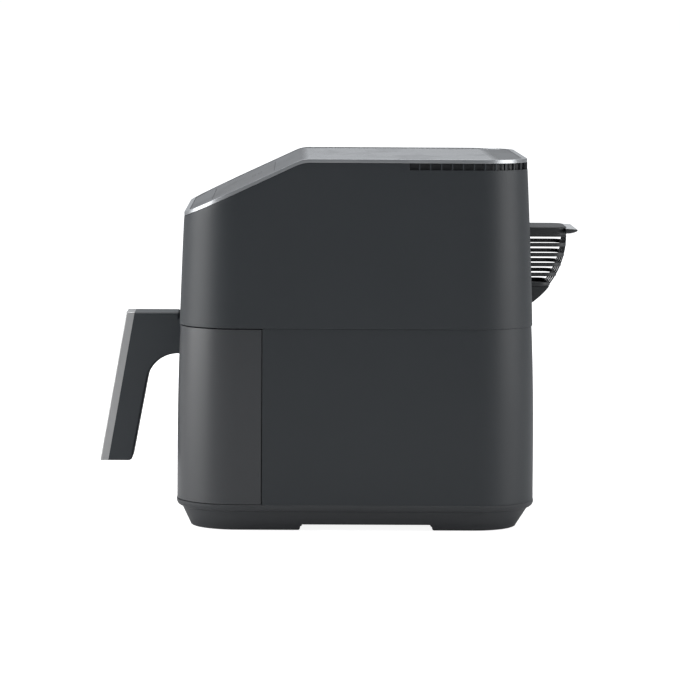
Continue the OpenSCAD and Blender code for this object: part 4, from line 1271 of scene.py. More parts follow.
@dataclass
class ControlTop:
    """The glossy top panel, its control window and the marks on it."""

    shop: Workshop
    casing: Casing
    panel_t: float = 2.5 * MM
    sunk: float = 0.5 * MM
    lens_half_x: float = 95 * MM
    lens_half_y: float = 29 * MM
    lens_r: float = 8 * MM
    line_t: float = 0.25 * MM

    def __post_init__(self) -> None:
        """Finds the window's middle on the slope."""
        low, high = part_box("control_lens")
        self.angle = self.casing.top.angle
        run, fall = math.cos(self.angle), math.sin(self.angle)
        middle = (low + high) / 2
        surface = self.casing.top.height(middle.y, self.sunk)
        self.origin = Vector((0, middle.y, surface))
        self.along = Vector((0, run, fall))
        self.out = Vector((0, -fall, run))

    def on_slope(self, x: float, up: float, lift: float) -> Point:
        """A point of the slope's own frame: across, up the slope and out of it."""
        return tuple(self.origin + Vector((x, 0, 0)) + self.along * up + self.out * lift)

    def window(self, name: str, grow: float, low: float, high: float) -> bpy.types.Object:
        """A rounded plate on the slope between two lifts."""
        a, b, r = self.lens_half_x + grow, self.lens_half_y + grow, self.lens_r + grow
        outline = []
        for k, (x, y) in enumerate(((1, 1), (-1, 1), (-1, -1), (1, -1))):
            outline += arc((x * (a - r), y * (b - r)), r, 90 * k, 90 * (k + 1), 6)
        middle = (low + high) / 2
        return prism(name, outline, (high - low) / 2, lambda x, up, side: self.on_slope(x, up, middle + side))

    def build_panel(self) -> None:
        """The panel inside the trim, with its opening for the window."""
        steps = 10
        inward = self.casing.trim_w + self.casing.gap
        rows = []
        for station in self.casing.outline().corner_to_corner():
            x, y, z = self.casing.top_point(station, inward, self.sunk)
            rows.append([(x * (2 * i / steps - 1), y, z) for i in range(steps + 1)])
        points = [p for row in rows for p in row]
        width = steps + 1
        faces = [[r * width + i, r * width + i + 1, (r + 1) * width + i + 1, (r + 1) * width + i]
                 for r in range(len(rows) - 1) for i in range(steps)]
        panel = mesh_piece("top_panel_face", points, faces)
        trim_up(panel, wall=self.panel_t)
        cut_away(panel, [self.window("window_cut", self.line_t, -8 * MM, 8 * MM)])
        trim_up(panel, edge=0.2 * MM, steps=2, edge_angle=50)
        self.shop.place(panel, Body.APPLIANCE, Finish.TOP, "top_panel")

    def build_window(self) -> None:
        """The dark window in the panel's opening."""
        glass = self.window("control_window", 0.0, -self.panel_t, 0.0)
        trim_up(glass, edge=0.3 * MM, steps=3, edge_angle=60)
        self.shop.place(glass, Body.APPLIANCE, Finish.GLASS, "control_lens")

    def build_marks(self) -> None:
        """Thin printed rings at the touch points and bars for the unlit display's digits."""
        ring_r, stroke, lift = 6.2 * MM, 0.3 * MM, -0.24 * MM
        rings = []
        for k in range(-4, 5):
            if k == 0:
                continue
            middle = (k * 20.5 * MM, -13 * MM)
            rings.append([self.on_slope(*p, lift) for p in arc(middle, ring_r, 0, 352.5, 47)])
        marks = path_piece("touch_rings", rings, closed=True)
        cook(marks, round_bar_sweep(), self.shop.material(Finish.PRINT), Radius=stroke, Sides=6)
        self.shop.place(marks, Body.APPLIANCE, Finish.PRINT)
        strokes = []
        lift = -0.52 * MM
        for k in (-1.5, -0.5, 0.5, 1.5):
            left, width, tall = k * 11 * MM + 1.2 * MM * (1 if k > 0 else -1), 3.2 * MM, 5.6 * MM
            for up in (-tall, 0.0, tall):
                strokes.append([self.on_slope(left + s * 0.8 * width, 12 * MM + up, lift) for s in (-1, 1)])
            for side in (-1, 1):
                for up in (-tall / 2, tall / 2):
                    ends = (up - 0.38 * tall, up + 0.38 * tall)
                    strokes.append([self.on_slope(left + side * width, 12 * MM + e, lift) for e in ends])
        digits = path_piece("display_digits", strokes)
        cook(digits, round_bar_sweep(), self.shop.material(Finish.PRINT), Radius=0.6 * MM, Sides=10)
        self.shop.place(digits, Body.APPLIANCE, Finish.PRINT)


@dataclass
class Base:
    """The plinth with its bead and foot blocks, and the rubber feet."""

    shop: Workshop
    casing: Casing
    bead_h: float = 5.8 * MM
    bead_step: float = 4.5 * MM
    draft: float = 8 * MM
    rear_draft_more: float = 3 * MM
    recess_h: float = 5.0 * MM
    front_foot: float = 47 * MM
    rear_foot: float = 64.5 * MM
    foot_round: float = 1.8 * MM
    bottom_round: float = 1.3 * MM
    wall: float = 2.6 * MM
    ease: float = 4.8 * MM
    screw_head_r: float = 3.42 * MM
    screw_hole_r: float = 4 * MM
    corner_r_more: float = 0.4 * MM

    def __post_init__(self) -> None:
        """Reads the plinth's place from the frame."""
        low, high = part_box("base_plinth")
        self.low_z = low.z
        self.half_x = high.x
        self.half_y = (high.y - low.y) / 2
        self.high_z = self.casing.base_z
        self.ends = (self.casing.middle_y - self.front_foot, self.casing.middle_y + self.rear_foot)

    def bottom(self, y: float) -> float:
        """Height of the underside at a depth: low under the foot blocks, raised between them."""
        front, rear = self.ends
        inside = min(y - front, rear - y)
        if inside >= 0:
            rise = self.recess_h - self.foot_round
            return self.low_z + self.foot_round + rise * min(1.0, inside / (0.5 * MM))
        near = inside + self.foot_round
        if near <= 0:
            return self.low_z
        return self.low_z + self.foot_round - math.sqrt(max(0.0, self.foot_round**2 - near**2))

    def inset(self, z: float, rear: float = 0.0) -> float:
        """How far the skin lies inside the bead at a height, the more so where it faces the rear."""
        bead_low = self.high_z - self.bead_h
        if z >= bead_low:
            up = min(self.ease, z - bead_low)
            return 0.85 * self.bead_step * (1 - math.sqrt(max(0.0, 1 - (1 - up / self.ease) ** 2)))
        draft = self.draft + self.rear_draft_more * rear**2
        return self.bead_step + draft * (bead_low - z) / (bead_low - self.low_z)

    def column(self, station: Station) -> list[Point]:
        """The skin at one station, from the underside's edge up to the casing."""
        low = self.bottom(station.y)
        bead_low = self.high_z - self.bead_h
        steps = 4
        lift = 0.8 * MM if low > self.low_z + MM else self.bottom_round
        rear = max(0.0, station.out_y)
        start = self.inset(low + lift, rear)
        turn = [math.radians(90 * i / steps) for i in range(steps)]
        points = [
            station.at(start + lift * (1 - math.sin(a)) * 1.1, low + lift * (1 - math.cos(a))) for a in turn
        ]
        rise = bead_low - 0.01 * MM
        for i in range(6):
            z = low + lift + (rise - low - lift) * i / 5
            points.append(station.at(self.inset(z, rear), z))
        for share in (0.0, 0.02, 0.05, 0.1, 0.17, 0.26, 0.38, 0.52, 0.66):
            z = bead_low + share * self.bead_h
            points.append(station.at(self.inset(z), z))
        points.append(station.at(0.0, self.high_z - 0.5 * MM))
        points.append(station.at(0.5 * MM, self.high_z))
        return points

    def build_plinth(self) -> None:
        """The plinth's skin with its underside, as a tray with its screw holes."""
        extra = []
        for end, way in zip(self.ends, (1, -1)):
            offsets = (-1.8, -1.2, -0.7, -0.3, 0.0, 0.25, 0.5, 1.2)
            extra += [end + way * o * MM for o in offsets]
        corner_r = self.casing.corner_r + self.casing.flare_r_more + self.corner_r_more
        outline = Outline(self.half_x, self.half_y, corner_r, self.casing.middle_y, breaks=tuple(extra))
        half = outline.right_half()
        stations = outline.all_round()
        columns = [self.column(s) for s in stations]
        rows = len(columns[0])
        skin = strip("base_plinth_tray", columns, closed=True)
        last = len(half) - 1
        flat = sum(abs(s.y - half[0].y) < TINY for s in half)
        with opened(skin) as work:
            edge = [work.verts[i * rows] for i in range(len(stations))]
            rings = [[*edge[:flat + 1], *edge[-flat:]]]
            rings += [[edge[i], edge[i + 1], edge[-i - 1], edge[-i]] for i in range(flat, last - flat)]
            rings.append(edge[last - flat:last + flat + 1])
            for ring in rings:
                work.faces.new(reversed(ring))
        trim_up(skin, wall=self.wall)
        low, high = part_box("base_screws")
        reach = (high.x - low.x) / 2 - self.screw_head_r
        depths = (low.y + self.screw_head_r, self.casing.middle_y, high.y - self.screw_head_r)
        holes = [
            prism("screw_hole", arc((x, y), self.screw_hole_r, 0, 345, 23), 20 * MM,
                  lambda a, b, side: (a, b, side))
            for x in (-reach, reach) for y in depths
        ]
        cut_away(skin, holes)
        trim_up(skin, sharp=30)
        self.shop.place(skin, Body.APPLIANCE, Finish.PLINTH, "base_plinth")

    def build_feet(self) -> None:
        """Four rubber feet, each a dished pad on a barbed stem."""
        low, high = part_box("rubber_feet")
        pad_r = 10 * MM
        profile = [(0.0, 0.25), (6.6, 0.25), (7.2, 0.0), (9.4, 0.0), (10.0, 0.35), (10.0, 0.8), (3.9, 0.8),
                   (3.9, 3.4), (5.4, 3.4), (4.0, 4.4), (0.0, 4.4)]
        parts = []
        sides = 40
        for x in (low.x + pad_r, high.x - pad_r):
            for y in (low.y + pad_r, high.y - pad_r):
                columns = []
                for k in range(sides):
                    a = 2 * math.pi * k / sides
                    columns.append([
                        (x + r * MM * math.cos(a), y + r * MM * math.sin(a), z * MM) for r, z in profile])
                parts.append(turn_outwards(strip("foot", columns, closed=True)))
        feet = joined("rubber_feet_pads", parts)
        trim_up(feet)
        self.shop.place(feet, Body.APPLIANCE, Finish.RUBBER, "rubber_feet")


# ---- drawer --------------------------------------------------------------------------


@dataclass
class Drawer:
    """The drawer's front, its hooked handle, the pan and the crisper plate."""

    shop: Workshop
    casing: Casing
    lean: float = math.radians(10)
    face_t: float = 7.5 * MM
    grip_t: float = 21.5 * MM
    arm_h: float = 36 * MM
    blend_r: float = 27 * MM
    end_r: float = 4 * MM
    pan_r: float = 34 * MM
    pan_t: float = 1.4 * MM
    rim_w: float = 3 * MM
    pan_draft: float = 5 * MM
    floor_r: float = 11 * MM
    hole_r: float = 3.5 * MM
    low_lip: float = 0.4 * MM
    arm_sunk: float = 3.4 * MM
    arm_lap: float = 0.8 * MM
    step_drop: float = 0.6 * MM
    grip_round: float = 2.0 * MM
    plate_round: float = 1.4 * MM

    def build_cover(self) -> None:
        """The drawer's outer skin, round the front and back along both sides."""
        low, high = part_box("drawer_cover")
        half = [s for s in self.casing.lower_outline().right_half() if s.y <= self.casing.cover_y + TINY]
        stations = [s.mirrored() for s in reversed(half[1:])] + half
        columns = self.casing.lower_columns(stations, low.z - self.low_lip, high.z)
        cover = strip("drawer_cover_skin", columns, closed=False)
        trim_up(cover, wall=self.casing.wall, edge=0.3 * MM, steps=3)
        self.shop.place(cover, Body.DRAWER, Finish.DRAWER, "drawer_cover")

    def build_handle(self) -> None:
        """The arm and grip, and the silver plate along the grip's front."""
        low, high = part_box("handle_plate")
        half = high.x
        slope = math.tan(self.lean)
        top, foot = high.z, low.z
        plate_low = low.y
        plate_top = plate_low + (top - foot) * slope
        grip_top, grip_low = plate_top + self.face_t, plate_low + self.face_t
        inner_low = grip_low + self.grip_t
        arm_z = top - self.arm_h
        inner_arm = inner_low + (arm_z - foot) * slope
        lean = math.degrees(self.lean)
        middle = (inner_arm + self.blend_r * math.tan(math.radians(90 - lean) / 2), arm_z - self.blend_r)
        front = self.casing.middle_y - self.casing.lower_half_y
        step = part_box("drawer_cover")[1].z - self.step_drop
        back, lap = front + self.arm_sunk, front - self.arm_lap
        outline = [(back, step), (lap, step), (lap, top)]
        outline += [(grip_top, top), (grip_low, foot)]
        outline += arc((inner_low - self.end_r, foot + self.end_r), self.end_r, -90, -lean, 6)
        outline += arc(middle, self.blend_r, 180 - lean, 90, 14)
        outline += [(back, arm_z)]

        def on_joint(p: Vector) -> bool:
            """Whether a point lies where the grip and the plate meet."""
            return abs(p.y - (grip_low + (p.z - foot) * slope)) < 10 * TINY

        grip = prism("handle_grip", outline, half, side_on)
        trim_up(grip, edge=self.grip_round, steps=4, edge_angle=50, spare=on_joint)
        self.shop.place(grip, Body.DRAWER, Finish.GRIP, "handle_body")
        face = [(plate_top, top), (grip_top, top), (grip_low, foot), (plate_low, foot)]
        plate = prism("handle_face_plate", face, half, side_on)
        trim_up(plate, edge=self.plate_round, steps=6, edge_angle=50, spare=on_joint)
        self.shop.place(plate, Body.DRAWER, Finish.FACE, "handle_plate")

    def pan_outline(self) -> Outline:
        """The pan's outline over its rim."""
        low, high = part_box("cooking_pan")
        return Outline(high.x, (high.y - low.y) / 2, self.pan_r, (high.y + low.y) / 2,
                       turn_steps=12, step=16 * MM)

    def build_pan(self) -> None:
        """The cooking pan, one sheet with a rounded floor edge and a rolled rim."""
        low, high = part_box("cooking_pan")
        foot = self.rim_w + self.pan_draft
        wall_h = high.z - low.z - self.pan_t
        rows = []
        for i in range(6):
            a = math.radians(90 * i / 5)
            rows.append((foot + self.floor_r * (1 - math.sin(a)), low.z + self.floor_r * (1 - math.cos(a))))
        for share in (0.2, 0.4, 0.6, 0.8, 0.97):
            up = self.floor_r + (wall_h - self.floor_r) * share
            rows.append((foot - self.pan_draft * share, low.z + up))
        rows += [(self.rim_w - 0.4 * MM, high.z - self.pan_t - 0.3 * MM), (1.0 * MM, high.z - self.pan_t)]
        rows += [(0.2 * MM, high.z - self.pan_t - 0.6 * MM), (0.05 * MM, high.z - 3.4 * MM)]
        stations = self.pan_outline().all_round()
        columns = [[s.at(inset, z) for inset, z in rows] for s in stations]
        pan = strip("cooking_pan_bowl", columns, closed=True)
        with opened(pan) as work:
            work.faces.new([work.verts[i * len(rows)] for i in reversed(range(len(stations)))])
        trim_up(pan, wall=self.pan_t, edge=0.3 * MM, steps=2, edge_angle=60)
        self.shop.place(pan, Body.DRAWER, Finish.PAN, "cooking_pan")

    def build_crisper(self) -> None:
        """The perforated plate and the four posts that it stands on."""
        low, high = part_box("crisper_plate")
        plate_t = 2 * MM
        half_x, half_y = high.x, (high.y - low.y) / 2
        middle_y = (high.y + low.y) / 2
        outline = Outline(half_x, half_y, 23 * MM, middle_y, turn_steps=10, step=20 * MM)
        sheet = [(s.x, s.y) for s in outline.all_round()]
        plate = prism("crisper_plate_sheet", sheet, plate_t / 2,
                      lambda x, y, side: (x, y, high.z - plate_t / 2 + side))
        pitch = 2 * 3.2 * self.hole_r
        columns = 2 * int((half_x - 15 * MM) / pitch) + 1
        rows = 2 * int((half_y - 15 * MM) / pitch) + 1
        cook(plate, round_holes(), self.shop.material(Finish.PAN), Radius=self.hole_r, Pitch=pitch,
             Columns=columns, Rows=rows, Middle=(0.0, middle_y, high.z))
        half_h, middle_z = (high.z - plate_t - low.z) / 2, (high.z - plate_t + low.z) / 2
        posts = [
            prism("post", arc((x * half_x, middle_y + y * half_y), 4 * MM, 0, 340, 17), half_h,
                  lambda a, b, side: (a, b, middle_z + side))
            for x in (-0.6, 0.6) for y in (-0.6, 0.6)
        ]
        whole = joined("crisper_plate_perforated", [plate, *posts])
        trim_up(whole, sharp=30)
        self.shop.place(whole, Body.CRISPER, Finish.PAN, "crisper_plate")


# ---- air outlet ----------------------------------------------------------------------


@dataclass
class Outlet:
    """The louvred cage behind the casing, under its hood."""

    shop: Workshop
    casing: Casing
    slot_h: float = 5.3 * MM
    slot_pitch: float = 8.6 * MM
    slots: int = 5
    bar_t: float = 2.4 * MM
    corner_r: float = 9 * MM
    cage_r: float = 71 * MM
    ribs: int = 4
    rib_t: float = 1.2 * MM
    post_l: float = 4.0 * MM
    hood_t: float = 8 * MM
    lip_t: float = 1.5 * MM
    lip_rise: float = 2.2 * MM
    lip_half_x: float = 40 * MM
    root_drop: float = 0.9 * MM
    tip_drop: float = 1.6 * MM
    out: float = 1.6 * MM

    def __post_init__(self) -> None:
        """Reads the outlet's place from the frame."""
        low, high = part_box("outlet_grille")
        _, hood_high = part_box("outlet_hood")
        self.half_x = high.x
        self.top_z = high.z
        self.low_z = low.z
        self.back_y = high.y + self.out
        self.middle_y = self.back_y - self.cage_r
        self.hood_half_x = hood_high.x
        self.hood_top = self.top_z + self.hood_t
        self.lip_y = hood_high.y
        self.first_slot = self.top_z - 0.6 * MM

    def reach(self, z: float, inward: float = 0.0) -> float:
        """Depth of the cage's back at a height, drawn in by inward."""
        radius = self.cage_r - inward
        return self.middle_y + math.sqrt(radius**2 - (self.top_z - z) ** 2)

    def wall_y(self, z: float) -> float:
        """Depth of the casing's skin at a height."""
        return self.casing.middle_y + self.casing.half_y - self.casing.inset(z)

    def slat(self, z: float) -> list[Point]:
        """A louvre's path: out along one side, round the back and home along the other."""
        half, back = self.half_x - self.bar_t / 2, self.reach(z, self.bar_t / 2)
        start = self.wall_y(z) - MM
        r = min(self.corner_r, back - start - MM)
        flat = [(half, start), *arc((half - r, back - r), r, 0, 90, 6)]
        flat += [*arc((r - half, back - r), r, 90, 180, 6), (-half, start)]
        return [(x, y, z) for x, y in flat]

    def rib(self, x: float) -> list[Point]:
        """An upright rib's path down the cage's curved back."""
        low = self.first_slot - self.slots * self.slot_pitch
        steps = 14
        heights = [self.top_z - (self.top_z - low) * i / steps for i in range(steps + 1)]
        return [(x, self.reach(z, self.rib_t / 2 + 0.3 * MM), z) for z in heights]

    def build_cage(self) -> None:
        """Louvres, ribs, side posts and the closed curved bottom."""
        bar_h = self.slot_pitch - self.slot_h
        levels = [self.first_slot - i * self.slot_pitch + bar_h / 2 for i in range(1, self.slots + 1)]
        slats = path_piece("slats", [self.slat(z) for z in levels])
        sweep, black = flat_bar_sweep(), self.shop.material(Finish.OUTLET)
        cook(slats, sweep, black, Thickness=self.bar_t, Height=bar_h, Ease=0.5 * MM)
        band_h = self.top_z - self.first_slot
        band = path_piece("band", [self.slat(self.top_z - band_h / 2)])
        cook(band, sweep, black, Thickness=self.bar_t, Height=band_h, Ease=0.1 * MM)
        spread = self.half_x - self.corner_r
        spots = [spread * (2 * i / (self.ribs - 1) - 1) for i in range(self.ribs)]
        ribs = path_piece("ribs", [self.rib(x) for x in spots])
        cook(ribs, sweep, black, Thickness=2.0 * MM, Height=self.rib_t, Ease=0.3 * MM)
        low = self.first_slot - self.slots * self.slot_pitch
        posts = []
        for x in (-self.half_x + self.bar_t / 2, self.half_x - self.bar_t / 2):
            post = [(self.wall_y(z) - 2 * MM, z) for z in (low, self.top_z)]
            face = [(self.wall_y(z) + self.post_l, z) for z in (self.top_z, low)]
            posts.append(prism("post", post + face, self.bar_t / 2, lambda a, b, side, x=x: (x + side, a, b)))
        steps = 10
        heights = [low + (self.low_z - low) * i / steps for i in range(steps + 1)]
        curve = [(self.reach(z), z) for z in heights]
        root = [(self.wall_y(z) - MM, z) for z in (low, self.low_z)]
        bowl = prism("bowl", [root[0], *curve, root[1]], self.half_x, side_on)
        trim_up(bowl, edge=1.2 * MM, steps=3, edge_angle=60)
        cage = joined("outlet_cage", [slats, band, ribs, *posts, bowl])
        trim_up(cage, sharp=30)
        self.shop.place(cage, Body.APPLIANCE, Finish.OUTLET, "outlet_grille")

    def build_hood(self) -> None:
        """The hood over the cage with its upturned lip."""
        a, r = self.hood_half_x, 12 * MM
        start = self.wall_y(self.hood_top) - 1.5 * MM
        back = self.back_y
        outline = [(-a, start), (a, start)]
        outline += [*arc((a - r, back - r), r, 0, 90, 8), *arc((r - a, back - r), r, 90, 180, 8)]
        middle = self.hood_top - self.hood_t / 2
        hood = prism("outlet_hood_cap", outline, self.hood_t / 2, lambda x, y, side: (x, y, middle + side))
        trim_up(hood, edge=1.3 * MM, steps=3, edge_angle=50)
        reach = self.lip_y - back
        root, tip = self.hood_top - self.root_drop, self.hood_top - self.tip_drop
        radius = (reach**2 + self.lip_rise**2) / (2 * self.lip_rise)
        sweep = math.degrees(math.asin(reach / radius))
        low = tip - self.lip_t - self.lip_rise
        under = arc((back, low + radius), radius, -90, -90 + sweep, 8)
        hidden = back - 2 * MM
        lip = prism("outlet_hood_lip", [(hidden, low), *under, (self.lip_y, tip), (hidden, root)],
                    self.lip_half_x, side_on)
        trim_up(lip, edge=0.7 * MM, steps=3, edge_angle=50)
        self.shop.place(hood, Body.APPLIANCE, Finish.OUTLET, "outlet_hood")
        self.shop.place(lip, Body.APPLIANCE, Finish.LIP, "outlet_hood")


# ---- works ---------------------------------------------------------------------------


@dataclass
class Works:
    """The heater, its guard, the fans, the motor's winding and the screws."""

    shop: Workshop
    shaft_r: float = 3 * MM
    tube_r: float = 3.25 * MM
    element_gap: float = 16 * MM
    wire_r: float = 1.1 * MM
    head_wide: float = 1.9
    head_tall: float = 1.1
    middle_screw: float = 0.24 / 0.55

    def build_fans(self) -> None:
        """The convection fan under the heater's roof and the cooling fan above it."""
        wheel = bladed_wheel()
        low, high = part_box("convection_fan")
        upper_low, upper_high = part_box("cooling_fan")
        middle = (low + high) / 2
        kinds = (
            ("convection_fan", Finish.BRIGHT, low.z, {
                "Blades": 10, "Radius": high.x, "Hub": 9 * MM, "Blade_height": 15 * MM, "Disc_z": 15 * MM,
                "Sheet": 1.2 * MM}),
            ("cooling_fan", Finish.INNER, upper_low.z, {
                "Blades": 9, "Radius": upper_high.x, "Hub": 12 * MM,
                "Blade_height": upper_high.z - upper_low.z, "Disc_z": 0.0, "Sheet": 1.4 * MM}),
        )
        for node, finish, foot, shape in kinds:
            fan = mesh_piece(f"{node}_wheel", [(0, 0, 0)], ())
            cook(fan, wheel, self.shop.material(finish), Middle=(middle.x, middle.y, foot), Bore=self.shaft_r,
                 **shape)
            trim_up(fan, sharp=30)
            self.shop.place(fan, Body.FAN, finish, node)

    def build_heater(self) -> None:
        """The element's two turns with its leads, and the ringed guard below it."""
        low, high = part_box("heating_element")
        outer = high.x - self.tube_r
        inner = outer - self.element_gap
        middle_y = high.y - self.tube_r - outer
        z = low.z + self.tube_r
        lead_x, bend = 12 * MM, 8 * MM
        paths = []
        for side in (-1, 1):
            lead_a = math.asin(lead_x / outer)
            start = -math.pi / 2 + side * lead_a
            span = side * (math.pi - lead_a - 0.16)
            steps = 44
            turn = [start + span * i / steps for i in range(steps + 1)]
            lead = [(side * lead_x, middle_y - outer * math.cos(lead_a), high.z)]
            lead += [(side * lead_x, middle_y - outer * math.cos(lead_a), z + bend)]
            path = lead + [(outer * math.cos(a), middle_y + outer * math.sin(a), z) for a in turn[2:]]
            back = [(inner * math.cos(a), middle_y + inner * math.sin(a), z) for a in reversed(turn[3:])]
            halfway = (outer + inner) / 2
            end = turn[-1] + side * 0.08
            path += [(halfway * math.cos(end), middle_y + halfway * math.sin(end), z), *back]
            paths.append(path)
        element = path_piece("heating_element_tube", paths)
        cook(element, round_bar_sweep(), self.shop.material(Finish.ELEMENT), Radius=self.tube_r, Sides=14)
        trim_up(element)
        self.shop.place(element, Body.APPLIANCE, Finish.ELEMENT, "heating_element")
        low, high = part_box("element_guard")
        guard_y = (low.y + high.y) / 2
        reach = high.x - self.wire_r
        bright = self.shop.material(Finish.BRIGHT)
        rings = mesh_piece("rings", [(0, 0, 0)], ())
        cook(rings, wire_rings(), bright, Rings=6, Reach=reach, Wire=self.wire_r,
             Middle=(0.0, guard_y, low.z + self.wire_r))
        spokes = []
        for k in range(3):
            a = math.pi * k / 3
            x, y = reach * math.cos(a), reach * math.sin(a)
            spokes.append([(s * x, guard_y + s * y, low.z + 2.6 * self.wire_r) for s in (-1, 1)])
        bars = path_piece("spokes", spokes)
        cook(bars, round_bar_sweep(), bright, Radius=self.wire_r, Sides=8)
        guard = joined("element_guard_wires", [rings, bars])
        trim_up(guard)
        self.shop.place(guard, Body.APPLIANCE, Finish.BRIGHT, "element_guard")

    def build_winding(self) -> None:
        """The motor's coil as the turns of its wire."""
        low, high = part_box("motor_coil")
        radius = (high.z - low.z) / 2
        wire = 0.7 * MM
        y, z = (low.y + high.y) / 2, (low.z + high.z) / 2
        turns = int((high.x - low.x) / (2 * wire)) - 1
        path = []
        steps = 20
        for i in range(turns * steps + 1):
            a = 2 * math.pi * i / steps
            x = low.x + wire + (high.x - low.x - 2 * wire) * i / (turns * steps)
            path.append((x, y + (radius - wire) * math.cos(a), z + (radius - wire) * math.sin(a)))
        wound = path_piece("wound", [path])
        cook(wound, round_bar_sweep(), self.shop.material(Finish.COPPER), Radius=wire, Sides=6)
        core = prism("core", arc((y, z), radius - 1.6 * wire, 0, 345, 23), (high.x - low.x) / 2 - 0.2 * MM,
                     side_on)
        coil = joined("motor_winding", [wound, core])
        trim_up(coil)
        self.shop.place(coil, Body.APPLIANCE, Finish.COPPER, "motor_coil")

    def build_screws(self) -> None:
        """Every group of screws, each head with its crossed recess."""
        recipe = cross_head_screws()
        groups = (
            ("base_screws", Body.APPLIANCE, 1.8 * MM, (0, 0, -1), 3),
            ("motor_screws", Body.APPLIANCE, 2.0 * MM, (0, 0, 1), 2),
            ("outlet_screws", Body.APPLIANCE, 1.5 * MM, (0, -1, 0), 1),
            ("handle_screws", Body.DRAWER, 1.8 * MM, (0, 1, 0), 1),
            ("pan_screws", Body.DRAWER, 1.8 * MM, (0, -1, 0), 1),
        )
        for node, body, radius, aim, rows in groups:
            low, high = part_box(node)
            head = self.head_wide * radius
            aim = Vector(aim)
            length = abs((high - low).dot(aim)) - self.head_tall * radius
            under = (high if sum(aim) > 0 else low) - aim * self.head_tall * radius
            xs = (low.x + head, high.x - head)
            ys = [low.y + head + (high.y - low.y - 2 * head) * i / max(1, rows - 1) for i in range(rows)]
            if node == "base_screws":
                ys[1] = low.y + head + (high.y - low.y - 2 * head) * self.middle_screw
            middle = (low + high) / 2
            points = []
            for x in xs:
                for y in ys:
                    points.append((x, y, under.z) if aim.z else (x, under.y, middle.z))
            screws = mesh_piece(f"{node}_set", points, ())
            cook(screws, recipe, self.shop.material(Finish.BRIGHT), Radius=radius, Length=length,
                 Aim=tuple(aim))
            trim_up(screws, sharp=30)
            self.shop.place(screws, body, Finish.BRIGHT, node)


# ---- stage ---------------------------------------------------------------------------


def emptied(owner: bpy.types.Material | bpy.types.World) -> Net:
    """The node tree of a material or a world, with nothing in it."""
    owner.use_nodes = True
    owner.node_tree.nodes.clear()
    return Net(owner.node_tree)


def end_by_sight(net: Net, kind: str, seen: bpy.types.NodeSocket, unseen: bpy.types.NodeSocket) -> None:
    """Ends a tree with one shader for what the camera sees itself and another for all other light.

    Args:
        net: The tree.
        kind: Blender's name of its output node.
        seen: The shader for the camera's own rays.
        unseen: The shader for all other rays.
    """
    path = net.node("ShaderNodeLightPath").outputs["Is Camera Ray"]
    pick = net.node("ShaderNodeMixShader", {0: path, 1: unseen, 2: seen})
    net.node(kind, {0: pick.outputs[0]})


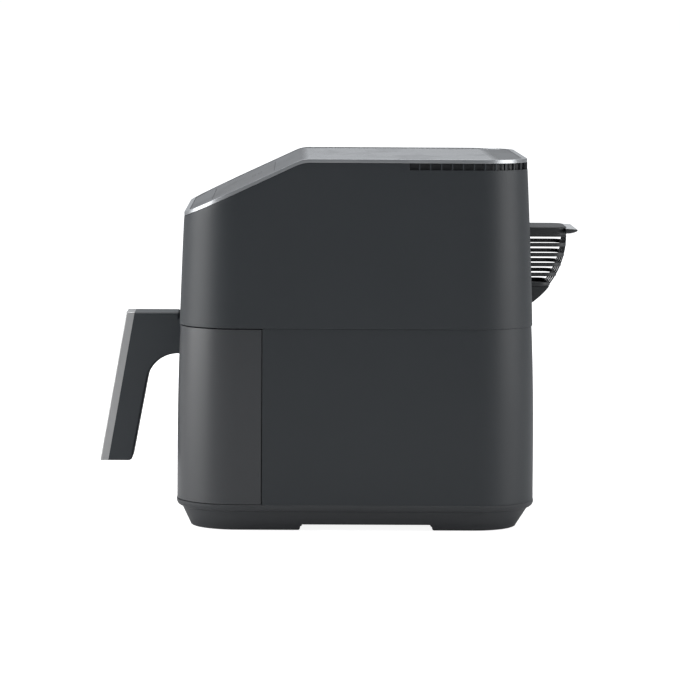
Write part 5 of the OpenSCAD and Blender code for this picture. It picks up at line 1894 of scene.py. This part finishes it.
@dataclass
class Stage:
    """Floor, soft light and camera."""

    floor_half: float = 30.0
    floor_matt: Colour = (0.80, 0.80, 0.80)
    floor_glow: Colour = (0.9, 0.9, 0.9)
    world_light: Flat = (0.22, 0.62)
    world_tint: Colour = (0.93, 0.96, 1.0)
    world_seen: float = 1.02
    camera_at: Point = (3.15, -0.0388, 0.436)
    turn: float = math.radians(0.7525)
    tilt: float = math.radians(5.19)
    roll: float = math.radians(0.35)
    lens: float = 190.96
    sensor_w: float = 36.0
    clip: float = 50.0

    def build_camera(self) -> None:
        """The camera: far off on the +X side, turned a hair towards the back and looking a little down."""
        data = bpy.data.cameras.new("camera")
        data.lens = self.lens
        data.sensor_width = self.sensor_w
        data.clip_end = self.clip
        camera = bpy.data.objects.new("camera", data)
        bpy.context.scene.collection.objects.link(camera)
        level = math.cos(self.tilt)
        ahead = Vector((-level * math.cos(self.turn), level * math.sin(self.turn), -math.sin(self.tilt)))
        turned = ahead.to_track_quat("-Z", "Y").to_matrix().to_4x4()
        camera.matrix_world = Matrix.Translation(self.camera_at) @ turned @ Matrix.Rotation(self.roll, 4, "Z")
        bpy.context.scene.camera = camera

    def build_floor(self) -> None:
        """A pale floor that reads as paper white and keeps a faint shadow."""
        far = self.floor_half
        corners = [(-far, -far, 0), (far, -far, 0), (far, far, 0), (-far, far, 0)]
        floor = mesh_piece("floor", corners, [[0, 1, 2, 3]])
        material = bpy.data.materials.new("paper_floor")
        net = emptied(material)
        matt = net.out("ShaderNodeBsdfDiffuse", {"Color": (*self.floor_matt, 1)})
        glow = net.out("ShaderNodeEmission", {"Color": (*self.floor_glow, 1)})
        both = net.out("ShaderNodeAddShader", {0: matt, 1: glow})
        end_by_sight(net, "ShaderNodeOutputMaterial", both, matt)
        floor.data.materials.append(material)

    def build_world(self) -> None:
        """A white surround: full white where it is seen, softer and uneven across where it lights."""
        world = bpy.data.worlds.new("studio")
        net = emptied(world)
        place = net.node("ShaderNodeTexCoord").outputs["Generated"]
        across = net.node("ShaderNodeSeparateXYZ", {0: place}).outputs["X"]
        dim, bright = self.world_light
        level = net.out("ShaderNodeMapRange", {"Value": across, "From Min": 1.0, "From Max": -1.0,
                                               "To Min": dim, "To Max": bright})
        soft = net.out("ShaderNodeBackground", {"Color": (*self.world_tint, 1), "Strength": level})
        white = net.out("ShaderNodeBackground", {"Color": (1, 1, 1, 1), "Strength": self.world_seen})
        end_by_sight(net, "ShaderNodeOutputWorld", white, soft)
        bpy.context.scene.world = world

    def build_lamp(self, name: str, at: Point, aim: Point, size: Flat, power: float) -> None:
        """One soft box.

        Args:
            name: The lamp's name.
            at: Where it stands.
            aim: What it points at.
            size: Its width and height.
            power: Its power in watts.
        """
        data = bpy.data.lights.new(name, "AREA")
        data.shape = "RECTANGLE"
        data.size, data.size_y = size
        data.energy = power
        lamp = bpy.data.objects.new(name, data)
        bpy.context.scene.collection.objects.link(lamp)
        ahead = Vector(aim) - Vector(at)
        lamp.matrix_world = Matrix.Translation(at) @ ahead.to_track_quat("-Z", "Y").to_matrix().to_4x4()

    def build(self) -> None:
        """Sets the whole stage."""
        self.build_camera()
        self.build_floor()
        self.build_world()
        bpy.context.scene.view_settings.view_transform = "Standard"
        self.build_lamp("front_box", (0.32, -2.3, 0.72), (0, 0, 0.17), (2.2, 1.7), 56)
        self.build_lamp("rear_box", (0.75, 2.2, 0.72), (0, 0, 0.17), (1.7, 1.7), 29)
        self.build_lamp("top_box", (-0.2, 0.0, 2.4), (0, 0, 0.2), (1.8, 1.8), 30)


def main() -> None:
    """Builds the air fryer on its frame and sets the stage."""
    logging.basicConfig(level=logging.INFO, format="%(message)s")
    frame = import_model()
    shop = Workshop(frame["nodes"])
    Stage().build()
    casing = Casing(shop)
    casing.build_upper()
    casing.build_lower()
    casing.build_trim()
    top = ControlTop(shop, casing)
    top.build_panel()
    top.build_window()
    top.build_marks()
    base = Base(shop, casing)
    base.build_plinth()
    base.build_feet()
    drawer = Drawer(shop, casing)
    drawer.build_cover()
    drawer.build_handle()
    drawer.build_pan()
    drawer.build_crisper()
    outlet = Outlet(shop, casing)
    outlet.build_cage()
    outlet.build_hood()
    works = Works(shop)
    works.build_fans()
    works.build_heater()
    works.build_winding()
    works.build_screws()
    shop.dress_frame()
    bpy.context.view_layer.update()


if __name__ == "__main__":
    main()
